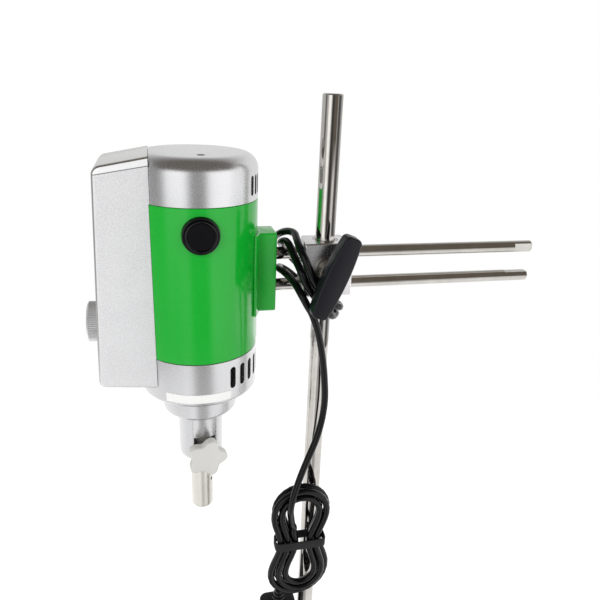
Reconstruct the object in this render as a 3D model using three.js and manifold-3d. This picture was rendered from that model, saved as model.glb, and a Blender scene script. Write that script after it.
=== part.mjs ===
// Laboratory homogenizer: a motor head on two arm rods, held by a clamp on a post with a base plate.
// Millimetres, +Z up. The motor's axis is x = 0, y = 0, and the arm rods run along +X.
import * as THREE from "three";
import { mergeVertices } from "three/addons/utils/BufferGeometryUtils.js";
import ManifoldModule from "manifold-3d";

// Fits used everywhere
const fitGap = 0.3; // between two pieces that touch or are pressed together
const slideGap = 0.35; // between two pieces that move on each other
const edgeBreak = 0.8; // small chamfer on machined edges
const roundSteps = 32; // facets round the body
const rodSteps = 20; // facets round rods, chuck and post
const smallSteps = 12; // facets round screws and bosses
const screwSteps = 8;

// Stand
const rodCentreHeight = 495; // mid height between the arm rods above the bench
const baseLength = 290;
const baseWidth = 190;
const baseThickness = 16;
const postSink = 8; // how deep the post stands in the plate
const baseCorner = 14;
const baseCentreX = 12;
const footRadius = 11;
const footHeight = 5;
const footSink = 2; // depth of the pocket that a foot sits in
const footInset = 24; // from the plate's edges to a foot's centre
const postX = 92.2;
const postY = -19.8;
const postRadius = 7.15;
const postTopAboveRods = 129.9;
const postBoltRadius = 4;
const postBoltHeadRadius = 6.5;
const postBoltHeadHeight = 5;
const postBoltGrip = 18; // length of the bolt inside the post

// Arm rods and the green block that carries them
const rodRadius = 4.75;
const rodSpacing = 25.4;
const rodEndX = 279;
const rodSocketDepth = 2.55; // from the housing to the rods' inner ends
const rodFlatDepth = 1.2;
const upperFlatLength = 16.5;
const lowerFlatLength = 21;
const armBlockReach = 13.55; // how far the block stands out from the housing
const armBlockHalfWidth = 12;
const armBlockTop = 31.3;
const armBlockBottom = -30;
const saddleThickness = 1.8;
const saddleHalfAngle = 39;
const saddleMargin = 0.4; // how far the saddle runs past the block, above and below
const setScrewRadius = 2.5;

// Clamp: a jaw on the post, in front, and a holder for the rods behind it
const jawTop = 28.5;
const jawBottom = -11.3;
const jawRearY = -8;
const holderHalfHeight = 21;
const holderFrontY = -9.9;
const clampFrontY = -33.6;
const clampRearY = 9.7;
const clampFrontHalfWidth = 18.4;
const clampRearHalfWidth = 13.1;
const bushWall = 1.5;
const bushSplit = 2; // width of the slit in the liner
const wingAxisZ = 8.6; // above the rods' mid height
const wingFrontY = -56;
const wingThickness = 12;
const wingLength = 63;
const wingMidWidth = 16.6;
const wingEndWidth = 12.8;
const wingTilt = 22; // degrees from upright
const wingEdge = 1.6;
const wingCorner = 4; // of the knob's square ends
const wingBulgeShare = 1.26; // pull of the curve that makes the middle wide
const wingStudShare = 0.6; // how far the stud reaches into the knob
const wingHubRadius = 9;
const wingScrewRadius = 4;
const padRadius = 3.4;
const padLength = 2.2;
const padTravel = 0.7; // room behind the pad when the knob is loosened

// Motor housing
const bodyRadius = 44.45;
const bodyWall = 3;
const capTop = 88.9;
const capRound = 11;
const capJoint = 57.2;
const lowerJoint = -56;
const lowerCapBottom = -91.5;
const lowerRound = 4;
const lowerFloor = 5; // thickness of the lower cap's end
const lipWall = 2; // the caps' lips that stand into the sleeve
const lipHeight = 2;
const seam = 0.15; // half of the gap at the sleeve's joints
const bearingBoss = 14;
const wireHoleRadius = 5;
const boltBoss = 5;
const topHoleX = 2.3;
const topHoleY = -24;
const topHoleRadius = 1.8;
const topHoleSink = 3.6;
const topSlotCount = 9;
const topSlotPitch = 8.4; // degrees
const topSlotWidth = 4;
const topSlotBottom = 61.6;
const topSlotHeight = 13.8;
const lowerSlotCount = 11;
const lowerSlotPitch = 12.1; // degrees
const lowerSlotWidth = 4.9;
const lowerSlotBottom = -79.5;
const lowerSlotHeight = 17.5;
const boltRadius = 2;
const boltHeadRadius = 3.6;
const boltHeadHeight = 3;
const boltTop = 68;
const boltAngle = 45; // degrees

// Neck, chuck and star knob
const neckTurn = 6; // degrees that the neck is turned from the front
const ringRadius = 29;
const ringBottom = -113;
const barrelRadius = 17.5;
const barrelBottom = -158.5;
const barrelRound = 5;
const barrelBore = 12.5; // round the drive coupling
const barrelBoreEnd = -141; // where the bore narrows to the chuck
const barrelFlat = 2.5; // depth of the flat on the front
const ringRound = 4;
const spigotRadius = 20;
const spigotHeight = 2; // that the neck stands into the lower cap
const windowWidth = 17;
const windowTop = -135.5;
const windowBottom = -143.5;
const chuckRadius = 8.9;
const chuckBottom = -211.5;
const chuckTop = -141.5;
const chuckBore = 6.2;
const chuckRound = 2;
const chuckHoleRadius = 1.5;
const chuckHoleZ = -185;
const chuckHoleAngle = -31; // degrees
const starZ = -148;
const starFront = 29.4; // from the motor's axis to the knob's front
const starThickness = 8;
const starRadius = 16.1;
const starValley = 11.7;
const starLobes = 5;
const starFirstLobe = 72; // degrees from level
const starEdge = 1.2;
const starCollarRadius = 6;
const starCollarBack = 15.6;
const starScrewRadius = 3;
const starScrewInner = 7.4; // from the motor's axis to the stud's tip
const starScrewOuter = 26; // how far out the stud reaches into the knob

// Motor inside the housing
const shaftRadius = 4;
const shaftTop = 81;
const shaftBottom = -128;
const shaftClearance = 1;
const bearingRadius = 11;
const bearingHeight = 7;
const upperBearingZ = 72;
const lowerBearingZ = -86.5;
const coreHalfHeight = 25;
const coreMidZ = -4;
const yokeWidth = 6.8; // of the core's outer ring
const airGap = 0.7; // between the poles and the armature
const shoeThickness = 3.2;
const shoeHalfAngle = 54;
const neckHalfAngle = 18;
const coilHalfAngle = 52;
const coilOverhang = 7;
const coilWidth = 7;
const coilToShoe = 0.5;
const coilWindowAngle = 19; // degrees, half of the opening round the pole's neck
const armatureSlots = 12;
const armatureSlotWidth = 3;
const armatureSlotDepth = 5;
const windingInset = 0.6; // of the end turns under the slots
const windingOverhang = 8;
const commutatorRadius = 12;
const commutatorHeight = 18;
const commutatorBottom = 30;
const brushZ = 39.2;
const fanToBoss = 1.7; // between the fan and the bosses of the through bolts
const fanHeight = 11;
const fanZ = -76;
const fanBlades = 9;
const fanDisc = 1.6;
const fanHubRadius = 8;
const couplingRadius = 8;
const couplingTop = -117;
const couplingBottom = -140;
const couplingSocket = 3.5; // corner radius of the hexagonal drive socket
const couplingSocketDepth = 9;

// Brushes and their caps
const brushCapRadius = 12.7;
const brushCapProud = 4.15; // beyond the sleeve
const brushSeatSink = 2.05; // under the sleeve's surface
const brushBossRadius = 15.6;
const brushBossSink = 7.45;
const holderRadius = 8;
const holderToBars = 2.5; // from the holders to the commutator
const brushWidth = 6.4;
const brushLengthShare = 0.6; // of the way from the commutator to the cap
const plugRadius = 6; // spigot of the brush cap
const capStep = 1.6; // from the cap's rim to its raised disc
const capDiscRadius = 9;
const springRadius = 2.6;
const springWire = 0.45;
const springTurns = 4;

// Control box and speed knob
const boxHalfDepth = 30.5;
const boxWrap = 12.55; // how far the box reaches round the housing
const boxTopInner = 88.4;
const boxTopOuter = 81.5;
const boxOuterTopX = -67.2;
const boxOuterBottomX = -73.9;
const boxBottomOuter = -76;
const boxBottomInner = -80;
const boxCorner = 5;
const boxEdgeRound = 2.4;
const boxWall = 2.6;
const knobZ = -36;
const knobRadius = 14.9;
const knobDepth = 8.6;
const knobFlutes = 30;
const knobFluteDepth = 0.55;
const potRadius = 12;
const potDepth = 11;
const potShaftRadius = 3;
const potBushRadius = 4.8;
const potBushShare = 0.45; // reach of the bush into the knob
const boardThickness = 1.6;
const boardX = -57;
const boardHalfWidth = 19;
const boardBottom = -16;
const boardTop = 64;
const boardInset = 6; // from the board's edges to its posts
const boardPostRadius = 3;

// Power cord, its strain relief, tie and plug
const cordRadius = 2.8;
const reliefX = -53;
const reliefZ = -20;
const reliefLength = 26;
const reliefRoot = 5.4;
const reliefTip = 3.9;
const reliefNeck = 4.4; // where it passes through the wall
const reliefCollar = 7;
const reliefCollarWidth = 2.4;
const cordSides = 8;
const leadSteps = 20;
const cordSteps = 76;
const tailSteps = 6;
const hankX = 79.5;
const hankFrontY = -40.1;
const hankRearY = -34;
const hankTopZ = -204; // centre of the upper folds
const hankBottomZ = -266;
const hankInnerRadius = 13; // of the innermost fold
const hankStep = 6.4; // from one loop to the next
const hankLoops = 4;
const hankPull = 7; // how far the tie draws the runs in
const hankStart = -0.3; // in loops, on the left run above the tie
const hankEnd = 3.8; // on the left run under the tie
const tieHeight = 8;
const tieThickness = 1.2;
const tieGap = 0.8; // from the runs to the band at their narrowest place
const plugX = 64.9;
const plugY = -27.5;
const plugTopZ = -298;
const plugNeckLength = 16;
const plugBodyLength = 24;
const plugHalfWidth = 16;
const plugHalfDepth = 14;
const plugCorner = 7;
const plugEdge = 2;
const plugNeckBase = 9;
const bladeInset = 4; // length of each blade inside the plug
const bladeLength = 17.5;
const earthLength = 20;
const bladeThickness = 1.6;
const bladeWidth = 6.4;
const bladeCircle = 7.92; // from the plug's axis to the slanted blades
const bladeAngle = 60; // degrees of each slanted blade from the earth blade's plane
const bladeSlant = 30; // degrees
const earthCircle = 10.31;
const plugAxisOffset = 1.5; // of the blades' common axis from the body's middle

// Sizes that follow the housing's round wall
const housingSeat = bodyRadius + fitGap;
const sleeveInner = bodyRadius - bodyWall;
const boxInnerX = boxWrap - bodyRadius;
const capFlatX = boxInnerX + fitGap; // flat of the top cap, beside the control box
const coreYokeOuter = sleeveInner - slideGap;
const coreInner = coreYokeOuter - yokeWidth;
const boltCircle = coreYokeOuter - yokeWidth / 2;
const fanRadius = boltCircle - boltBoss - fanToBoss;
const coilOuter = coreInner - fitGap;
const coilInner = coilOuter - coilWidth;
const shoeOuter = coilInner - coilToShoe;
const poleBore = shoeOuter - shoeThickness;
const armatureRadius = poleBore - airGap;
const windingRadius = armatureRadius - armatureSlotDepth - windingInset;
const brushCapFront = bodyRadius + brushCapProud;
const brushSeat = bodyRadius - brushSeatSink;
const brushBossInner = bodyRadius - brushBossSink;
const plugInner = brushBossInner;
const holderInner = commutatorRadius + holderToBars;
const brushLength = (plugInner - commutatorRadius) * brushLengthShare;
const armBlockEndX = bodyRadius + armBlockReach;
const rodSocketX = bodyRadius + rodSocketDepth; // inner end of the rods, inside the block

const wasm = await ManifoldModule();
wasm.setup();

const degrees = (angle) => (angle * Math.PI) / 180;

// A finish is a colour, a roughness and a metalness
const finish = (color, roughness, metalness) => ({ color, roughness, metalness });
const finishes = {
  castSilver: finish(0xc4c6c6, 0.38, 0.75),
  hammeredSilver: finish(0xc9cbcc, 0.5, 0.6),
  greenPaint: finish(0x22b43c, 0.35, 0),
  chrome: finish(0xd9d6d0, 0.12, 1),
  steel: finish(0xa7a9ab, 0.32, 0.9),
  blackPlastic: finish(0x1d1d21, 0.45, 0),
  glossyBlack: finish(0x0d0e10, 0.16, 0),
  rubber: finish(0x141414, 0.6, 0),
  brass: finish(0xb08d45, 0.35, 0.9),
  copper: finish(0xb06a3b, 0.4, 0.9),
  lamination: finish(0x6e7073, 0.5, 0.8),
  carbon: finish(0x2a2a2c, 0.8, 0.1),
  board: finish(0x1f6b3a, 0.6, 0),
  base: finish(0x3a3d40, 0.55, 0.2),
};

const group = new THREE.Group();
group.name = "laboratory_homogenizer";

// Turns a closed geometry into a solid, with its faces pointing out
function solid(geometry) {
  const bare = new THREE.BufferGeometry();
  bare.setAttribute("position", geometry.getAttribute("position").clone());
  if (geometry.index) bare.setIndex(geometry.index.clone());
  const welded = mergeVertices(bare, 1e-5);
  const points = welded.getAttribute("position").array;
  const corners = [];
  const index = welded.index.array;
  for (let i = 0; i < index.length; i += 3) {
    const [a, b, c] = [index[i], index[i + 1], index[i + 2]];
    if (a !== b && b !== c && c !== a) corners.push(a, b, c);
  }
  if (volumeOf(points, corners) < 0) corners.reverse();
  const mesh = new wasm.Mesh({
    numProp: 3,
    vertProperties: new Float32Array(points),
    triVerts: new Uint32Array(corners),
  });
  mesh.merge();
  return new wasm.Manifold(mesh);
}

function volumeOf(points, corners) {
  let sum = 0;
  const a = new THREE.Vector3();
  const b = new THREE.Vector3();
  const c = new THREE.Vector3();
  for (let i = 0; i < corners.length; i += 3) {
    a.fromArray(points, corners[i] * 3);
    b.fromArray(points, corners[i + 1] * 3);
    c.fromArray(points, corners[i + 2] * 3);
    sum += a.dot(b.cross(c));
  }
  return sum;
}

function geometryOf(body) {
  const mesh = body.getMesh();
  const geometry = new THREE.BufferGeometry();
  geometry.setAttribute("position", new THREE.BufferAttribute(new Float32Array(mesh.vertProperties), 3));
  geometry.setIndex(new THREE.BufferAttribute(new Uint32Array(mesh.triVerts), 1));
  return geometry;
}

const join = (first, ...others) => others.reduce((whole, other) => whole.add(other), first);
const cut = (first, ...others) => others.reduce((whole, other) => whole.subtract(other), first);

// Adds a piece of the head, which is drawn from the rods' mid height
function addHead(name, body, look) {
  const geometry = geometryOf(body);
  geometry.translate(0, 0, rodCentreHeight);
  addMesh(name, geometry, look);
}

function addMesh(name, geometry, look) {
  geometry.computeVertexNormals();
  const mesh = new THREE.Mesh(geometry, new THREE.MeshStandardMaterial(look));
  mesh.name = name;
  mesh.material.name = name;
  group.add(mesh);
}

// Simple solids
function turned(profile, steps = smallSteps) {
  const points = profile.map(([radius, height]) => new THREE.Vector2(radius, height));
  const geometry = new THREE.LatheGeometry(points, steps);
  geometry.rotateX(Math.PI / 2);
  return geometry;
}

function rod(radius, from, to, steps = smallSteps) {
  return turned([[0, from], [radius, from], [radius, to], [0, to]], steps);
}

function chamferedRod(radius, from, to, chamfer, steps = smallSteps) {
  const inner = radius - chamfer;
  return turned(
    [[0, from], [inner, from], [radius, from + chamfer], [radius, to - chamfer], [inner, to], [0, to]],
    steps,
  );
}

function block(x0, x1, y0, y1, z0, z1) {
  const geometry = new THREE.BoxGeometry(x1 - x0, y1 - y0, z1 - z0);
  geometry.translate((x0 + x1) / 2, (y0 + y1) / 2, (z0 + z1) / 2);
  return geometry;
}

function prism(shape, from, to, curveSegments = 8) {
  const geometry = new THREE.ExtrudeGeometry(shape, { depth: to - from, bevelEnabled: false, curveSegments });
  geometry.translate(0, 0, from);
  return geometry;
}

const alongX = (geometry) => geometry.rotateY(Math.PI / 2);
const alongFront = (geometry) => geometry.rotateX(Math.PI / 2); // +Z goes to -Y

function arcPoints(radius, fromAngle, toAngle, steps) {
  const points = [];
  for (let i = 0; i <= steps; i += 1) {
    const angle = degrees(fromAngle + ((toAngle - fromAngle) * i) / steps);
    points.push(new THREE.Vector2(radius * Math.cos(angle), radius * Math.sin(angle)));
  }
  return points;
}

function sector(inner, outer, fromAngle, toAngle, from, to, steps = 12) {
  const shape = new THREE.Shape([
    ...arcPoints(outer, fromAngle, toAngle, steps),
    ...arcPoints(inner, toAngle, fromAngle, steps),
  ]);
  return prism(shape, from, to);
}

function roundedRectangle(halfX, halfY, corner) {
  const shape = new THREE.Shape();
  shape.moveTo(halfX, corner - halfY);
  shape.lineTo(halfX, halfY - corner);
  shape.absarc(halfX - corner, halfY - corner, corner, 0, Math.PI / 2);
  shape.lineTo(corner - halfX, halfY);
  shape.absarc(corner - halfX, halfY - corner, corner, Math.PI / 2, Math.PI);
  shape.lineTo(-halfX, corner - halfY);
  shape.absarc(corner - halfX, corner - halfY, corner, Math.PI, 1.5 * Math.PI);
  shape.lineTo(halfX - corner, -halfY);
  shape.absarc(halfX - corner, corner - halfY, corner, 1.5 * Math.PI, 2 * Math.PI);
  return shape;
}

// Quarter-round from a wall's top to a flat, as profile points
function quarterRound(radius, height, round, steps) {
  const points = [];
  for (let i = 0; i <= steps; i += 1) {
    const angle = ((Math.PI / 2) * i) / steps;
    points.push([radius - round + round * Math.cos(angle), height - round + round * Math.sin(angle)]);
  }
  return points;
}

// Round-cornered outline through a closed list of corners
function roundedOutline(corners, round) {
  const shape = new THREE.Shape();
  corners.forEach(([x, y], i) => {
    const here = new THREE.Vector2(x, y);
    const before = new THREE.Vector2(...corners[(i + corners.length - 1) % corners.length]);
    const after = new THREE.Vector2(...corners[(i + 1) % corners.length]);
    const start = here.clone().add(before.sub(here).setLength(round));
    const end = here.clone().add(after.sub(here).setLength(round));
    if (i === 0) shape.moveTo(start.x, start.y);
    else shape.lineTo(start.x, start.y);
    shape.quadraticCurveTo(here.x, here.y, end.x, end.y);
  });
  shape.closePath();
  return shape;
}

// Prism whose two ends are rounded or chamfered inside the outline
function softPrism(shape, from, to, edge, edgeSteps = 1, curveSegments = 5) {
  const geometry = new THREE.ExtrudeGeometry(shape, {
    depth: to - from - 2 * edge,
    bevelEnabled: true,
    bevelThickness: edge,
    bevelSize: edge,
    bevelOffset: -edge,
    bevelSegments: edgeSteps,
    curveSegments,
  });
  geometry.translate(0, 0, from + edge);
  return geometry;
}

const past = 2; // how far a cutting tool runs past the face it opens
const hexSteps = 6;

function socketTool(radius, from, to) {
  return solid(rod(radius, from, to, hexSteps));
}

// Stand: plate, feet, post and the bolt that holds it
function makeStand() {
  const plateBottom = footHeight - footSink;
  const plateTop = plateBottom + baseThickness;
  const postFoot = plateTop - postSink;
  const headTop = plateBottom + edgeBreak + postBoltHeadHeight;
  const outline = roundedRectangle(baseLength / 2, baseWidth / 2, baseCorner);
  let plate = solid(softPrism(outline, plateBottom, plateTop, edgeBreak));
  plate = plate.translate([baseCentreX, 0, 0]);
  const sinks = join(
    solid(rod(postRadius + fitGap, postFoot - fitGap, plateTop + past, rodSteps)),
    solid(rod(postBoltRadius + fitGap, plateBottom - past, plateTop, screwSteps)),
    solid(rod(postBoltHeadRadius + fitGap, plateBottom - past, headTop + fitGap)),
  );
  plate = cut(plate, sinks.translate([postX, postY, 0]));
  for (const sideX of ["left", "right"]) {
    for (const sideY of ["front", "rear"]) {
      const x = baseCentreX + (sideX === "left" ? -1 : 1) * (baseLength / 2 - footInset);
      const y = (sideY === "front" ? -1 : 1) * (baseWidth / 2 - footInset);
      const pocket = solid(rod(footRadius + fitGap, plateBottom - past, footHeight));
      plate = cut(plate, pocket.translate([x, y, 0]));
      const foot = solid(chamferedRod(footRadius, 0, footHeight - fitGap, edgeBreak));
      addMesh(`foot_${sideX}_${sideY}`, geometryOf(foot.translate([x, y, 0])), finishes.rubber);
    }
  }
  addMesh("base_plate", geometryOf(plate), finishes.base);

  const bore = solid(rod(postBoltRadius + fitGap, postFoot - past, postFoot + postBoltGrip, screwSteps));
  const bar = solid(chamferedRod(postRadius, postFoot, rodCentreHeight + postTopAboveRods, edgeBreak, rodSteps));
  addMesh("post", geometryOf(cut(bar, bore).translate([postX, postY, 0])), finishes.chrome);

  const head = solid(rod(postBoltHeadRadius, headTop - postBoltHeadHeight, headTop));
  const shank = solid(rod(postBoltRadius, headTop - edgeBreak, postFoot + postBoltGrip - edgeBreak, screwSteps));
  const socket = socketTool(postBoltHeadRadius / 2, plateBottom - past, headTop - postBoltHeadHeight / 2);
  const bolt = cut(join(head, shank), socket);
  addMesh("post_bolt", geometryOf(bolt.translate([postX, postY, 0])), finishes.steel);
}

// A socket set screw along +Y, from one depth to another
function setScrew(from, to) {
  const body = solid(rod(setScrewRadius, from, to, screwSteps));
  const socket = socketTool(setScrewRadius / 2, to - setScrewRadius, to + past);
  return cut(body, socket).rotate([-90, 0, 0]);
}

const upperRodZ = rodSpacing / 2;
const lowerRodZ = -rodSpacing / 2;

function rodBores(from, to, clearance) {
  const bores = [upperRodZ, lowerRodZ].map((z) => {
    const bore = alongX(rod(rodRadius + clearance, from, to, rodSteps));
    bore.translate(0, 0, z);
    return solid(bore);
  });
  return join(...bores);
}

// Clamp: block, liner, rod screws, and the wing knob with its screw and pad
const linerInner = postRadius + slideGap;
const linerOuter = linerInner + bushWall;
const clampBore = linerOuter + fitGap;

// Part of the clamp between two depths, inside its tapered plan
function clampPart(frontY, rearY, bottom, top) {
  const taper = (clampRearHalfWidth - clampFrontHalfWidth) / (clampRearY - clampFrontY);
  const frontHalf = clampFrontHalfWidth + taper * (frontY - clampFrontY);
  const rearHalf = clampFrontHalfWidth + taper * (rearY - clampFrontY);
  const outline = new THREE.Shape([
    new THREE.Vector2(-frontHalf, frontY),
    new THREE.Vector2(frontHalf, frontY),
    new THREE.Vector2(rearHalf, rearY),
    new THREE.Vector2(-rearHalf, rearY),
  ]);
  return solid(softPrism(outline, bottom, top, edgeBreak)).translate([postX, 0, 0]);
}

function makeClamp() {
  const jaw = clampPart(clampFrontY, jawRearY, jawBottom, jawTop);
  const holder = clampPart(holderFrontY, clampRearY, -holderHalfHeight, holderHalfHeight);
  let body = join(jaw, holder);
  const postBore = rod(clampBore, jawBottom - past, jawTop + past, rodSteps);
  body = cut(body, solid(postBore).translate([postX, postY, 0]));
  body = cut(body, rodBores(postX - clampFrontHalfWidth - past, postX + clampFrontHalfWidth + past, slideGap));
  const threadHole = solid(alongFront(rod(wingScrewRadius + fitGap, -postY, past - clampFrontY)));
  body = cut(body, threadHole.translate([postX, 0, wingAxisZ]));
  for (const [name, z] of [["upper", upperRodZ], ["lower", lowerRodZ]]) {
    const hole = solid(rod(setScrewRadius + fitGap, 0, clampRearY + past, screwSteps)).rotate([-90, 0, 0]);
    body = cut(body, hole.translate([postX, 0, z]));
    const screw = setScrew(rodRadius + fitGap, clampRearY - edgeBreak / 2);
    addHead(`rod_screw_${name}`, screw.translate([postX, 0, z]), finishes.steel);
  }
  addHead("clamp_block", body, finishes.castSilver);

  const liner = cut(
    solid(rod(linerOuter, jawBottom, jawTop, rodSteps)),
    solid(rod(linerInner, jawBottom - past, jawTop + past, rodSteps)),
    solid(block(-bushSplit / 2, bushSplit / 2, 0, linerOuter + past, jawBottom - past, jawTop + past)),
  );
  addHead("post_liner", liner.translate([postX, postY, 0]), finishes.steel);

  const padTip = linerOuter + fitGap - postY;
  const screwTip = padTip + padLength + padTravel;
  const pad = solid(alongFront(chamferedRod(padRadius, padTip, padTip + padLength, edgeBreak / 2)));
  addHead("wing_pad", pad.translate([postX, 0, wingAxisZ]), finishes.brass);

  const knobBack = -wingFrontY - wingThickness;
  const studEnd = knobBack + wingThickness * wingStudShare;
  const hub = solid(alongFront(chamferedRod(wingHubRadius, fitGap - clampFrontY, knobBack - fitGap, edgeBreak)));
  const stud = solid(alongFront(rod(wingScrewRadius, screwTip, studEnd)));
  addHead("wing_screw", join(hub, stud).translate([postX, 0, wingAxisZ]), finishes.steel);

  const half = wingLength / 2;
  const mid = wingMidWidth / 2;
  const end = wingEndWidth / 2;
  const shape = new THREE.Shape();
  const corner = wingCorner;
  shape.moveTo(-end, half - corner);
  shape.absarc(corner - end, half - corner, corner, Math.PI, Math.PI / 2, true);
  shape.absarc(end - corner, half - corner, corner, Math.PI / 2, 0, true);
  shape.quadraticCurveTo(mid * wingBulgeShare, 0, end, corner - half);
  shape.absarc(end - corner, corner - half, corner, 0, -Math.PI / 2, true);
  shape.absarc(corner - end, corner - half, corner, -Math.PI / 2, -Math.PI, true);
  shape.quadraticCurveTo(-mid * wingBulgeShare, 0, -end, half - corner);
  const bar = softPrism(shape, knobBack, knobBack + wingThickness, wingEdge, 2, 4);
  bar.rotateZ(degrees(-wingTilt));
  const recess = solid(alongFront(rod(wingScrewRadius + fitGap, knobBack - past, studEnd + fitGap)));
  const knob = cut(solid(alongFront(bar)), recess);
  addHead("wing_knob", knob.translate([postX, 0, wingAxisZ]), finishes.blackPlastic);
}

// Arm: the two rods and the green block that carries them on the housing
function makeArm() {
  const flats = [
    ["upper_rod", upperRodZ, block(rodEndX - upperFlatLength, rodEndX + past,
      -rodRadius - past, rodFlatDepth - rodRadius, -rodRadius - past, rodRadius + past)],
    ["lower_rod", lowerRodZ, block(rodEndX - lowerFlatLength, rodEndX + past,
      -rodRadius - past, rodRadius + past, rodRadius - rodFlatDepth, rodRadius + past)],
  ];
  for (const [name, z, flat] of flats) {
    const bar = solid(alongX(chamferedRod(rodRadius, rodSocketX, rodEndX, edgeBreak, rodSteps)));
    addHead(name, cut(bar, solid(flat)).translate([0, 0, z]), finishes.chrome);
  }

  const midZ = (armBlockTop + armBlockBottom) / 2;
  const halfZ = (armBlockTop - armBlockBottom) / 2;
  const face = roundedRectangle(halfZ, armBlockHalfWidth, 2 * edgeBreak);
  const bar = alongX(softPrism(face, 0, armBlockEndX, edgeBreak));
  bar.translate(0, 0, midZ);
  const saddle = sector(housingSeat - past, housingSeat + saddleThickness, -saddleHalfAngle, saddleHalfAngle,
    armBlockBottom - saddleMargin, armBlockTop + saddleMargin, 8);
  let body = join(solid(bar), solid(saddle));
  const seatFrom = armBlockBottom - saddleMargin - past;
  const seatTo = armBlockTop + saddleMargin + past;
  body = cut(body, solid(rod(housingSeat, seatFrom, seatTo, roundSteps)));
  body = cut(body, rodBores(rodSocketX - fitGap, armBlockEndX + past, fitGap));
  const screwX = (rodSocketX + armBlockEndX) / 2;
  for (const [name, z] of [["upper", upperRodZ], ["lower", lowerRodZ]]) {
    const hole = solid(rod(setScrewRadius + fitGap, 0, armBlockHalfWidth + past, screwSteps)).rotate([-90, 0, 0]);
    body = cut(body, hole.translate([screwX, 0, z]));
    const screw = setScrew(rodRadius + fitGap, armBlockHalfWidth - edgeBreak);
    addHead(`arm_screw_${name}`, screw.translate([screwX, 0, z]), finishes.steel);
  }
  addHead("arm_block", body, finishes.greenPaint);
}

// Motor housing: sleeve and two caps with lips that stand into it
const lipOuter = sleeveInner - fitGap;
const capBore = lipOuter - lipWall;
const arcParts = 3; // facets of a quarter round

const mirrored = (profile) => profile.map(([radius, height]) => [radius, -height]);

// A slot with round ends, cut outwards along +X
function slotTool(width, bottom, height, inner, outer) {
  const half = width / 2;
  const shape = new THREE.Shape();
  shape.absarc(0, height - half, half, 0, Math.PI);
  shape.absarc(0, half, half, Math.PI, 2 * Math.PI);
  const tool = prism(shape, inner, outer, arcParts);
  tool.rotateX(Math.PI / 2);
  tool.rotateZ(Math.PI / 2);
  tool.translate(0, 0, bottom);
  return solid(tool);
}

function slotRow(body, count, pitch, width, bottom, height) {
  let slotted = body;
  for (let i = 0; i < count; i += 1) {
    const tool = slotTool(width, bottom, height, capBore - past, bodyRadius + past);
    slotted = cut(slotted, tool.rotate([0, 0, (i - (count - 1) / 2) * pitch]));
  }
  return slotted;
}

// Repeats a tool at the two through bolts
function atBolts(tool) {
  const placed = tool.translate([boltCircle, 0, 0]).rotate([0, 0, boltAngle]);
  return join(placed, placed.rotate([0, 0, 180]));
}

function makeTopCap() {
  const bottom = capJoint + seam;
  const crown = quarterRound(bodyRadius, capTop, capRound, arcParts);
  const outline = [[0, bottom], [bodyRadius, bottom], ...crown, [0, capTop]];
  const inside = quarterRound(capBore, capTop - bodyWall, capRound - bodyWall, arcParts);
  const floor = capJoint - lipHeight;
  const wallX = capFlatX + bodyWall;
  const hollow = cut(
    solid(turned([[0, floor - past], [capBore, floor - past], ...inside, [0, capTop - bodyWall]], roundSteps)),
    solid(block(-bodyRadius, wallX, -bodyRadius, bodyRadius, bottom, capTop)),
  );
  let body = join(solid(turned(outline, roundSteps)), solid(rod(lipOuter, floor, bottom + seam, roundSteps)));
  body = cut(body, hollow);
  const bosses = join(
    solid(rod(bearingBoss, upperBearingZ - edgeBreak, capTop - bodyWall / 2)),
    atBolts(solid(rod(boltBoss, bottom, capTop - capRound))),
  );
  const bores = join(
    solid(rod(bearingRadius + fitGap, upperBearingZ - past, upperBearingZ + bearingHeight + fitGap)),
    solid(rod(shaftRadius + shaftClearance, upperBearingZ, shaftTop + shaftClearance)),
    atBolts(solid(rod(boltRadius + fitGap, floor - past, boltTop + fitGap, screwSteps))),
  );
  const sink = topHoleSink + edgeBreak;
  const hole = turned([
    [0, upperBearingZ], [topHoleRadius, upperBearingZ], [topHoleRadius, capTop - topHoleSink / 2],
    [sink, capTop + edgeBreak], [0, capTop + edgeBreak],
  ]);
  body = cut(join(body, bosses), bores, solid(hole).translate([topHoleX, topHoleY, 0]));
  body = slotRow(body, topSlotCount, topSlotPitch, topSlotWidth, topSlotBottom, topSlotHeight);
  const beside = block(-bodyRadius - past, capFlatX, -bodyRadius, bodyRadius, floor - past, capTop + past);
  body = cut(body, solid(beside));
  addHead("top_cap", body, finishes.castSilver);
}

// Round holes of the brush holders, and the seats of the brush caps, along both Y directions
function atBrushes(tool) {
  const placed = solid(alongFront(tool)).translate([0, 0, brushZ]);
  return join(placed, placed.rotate([0, 0, 180]));
}

function makeSleeve() {
  const bottom = lowerJoint + seam;
  const top = capJoint - seam;
  const shell = cut(
    solid(rod(bodyRadius, bottom, top, roundSteps)),
    solid(rod(sleeveInner, bottom - past, top + past, roundSteps)),
  );
  const bosses = atBrushes(rod(brushBossRadius, brushBossInner, brushSeat));
  const inside = solid(rod(bodyRadius - bodyWall / 2, bottom, top, roundSteps));
  let body = join(shell, bosses.intersect(inside));
  body = cut(
    body,
    atBrushes(rod(brushCapRadius + fitGap, brushSeat, bodyRadius + past, 2 * smallSteps)),
    atBrushes(rod(holderRadius + fitGap, 0, bodyRadius + past)),
  );
  const wireHole = solid(alongX(rod(wireHoleRadius, -bodyRadius - past, 0))).translate([0, 0, brushZ]);
  addHead("motor_sleeve", cut(body, wireHole), finishes.greenPaint);
}

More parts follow.
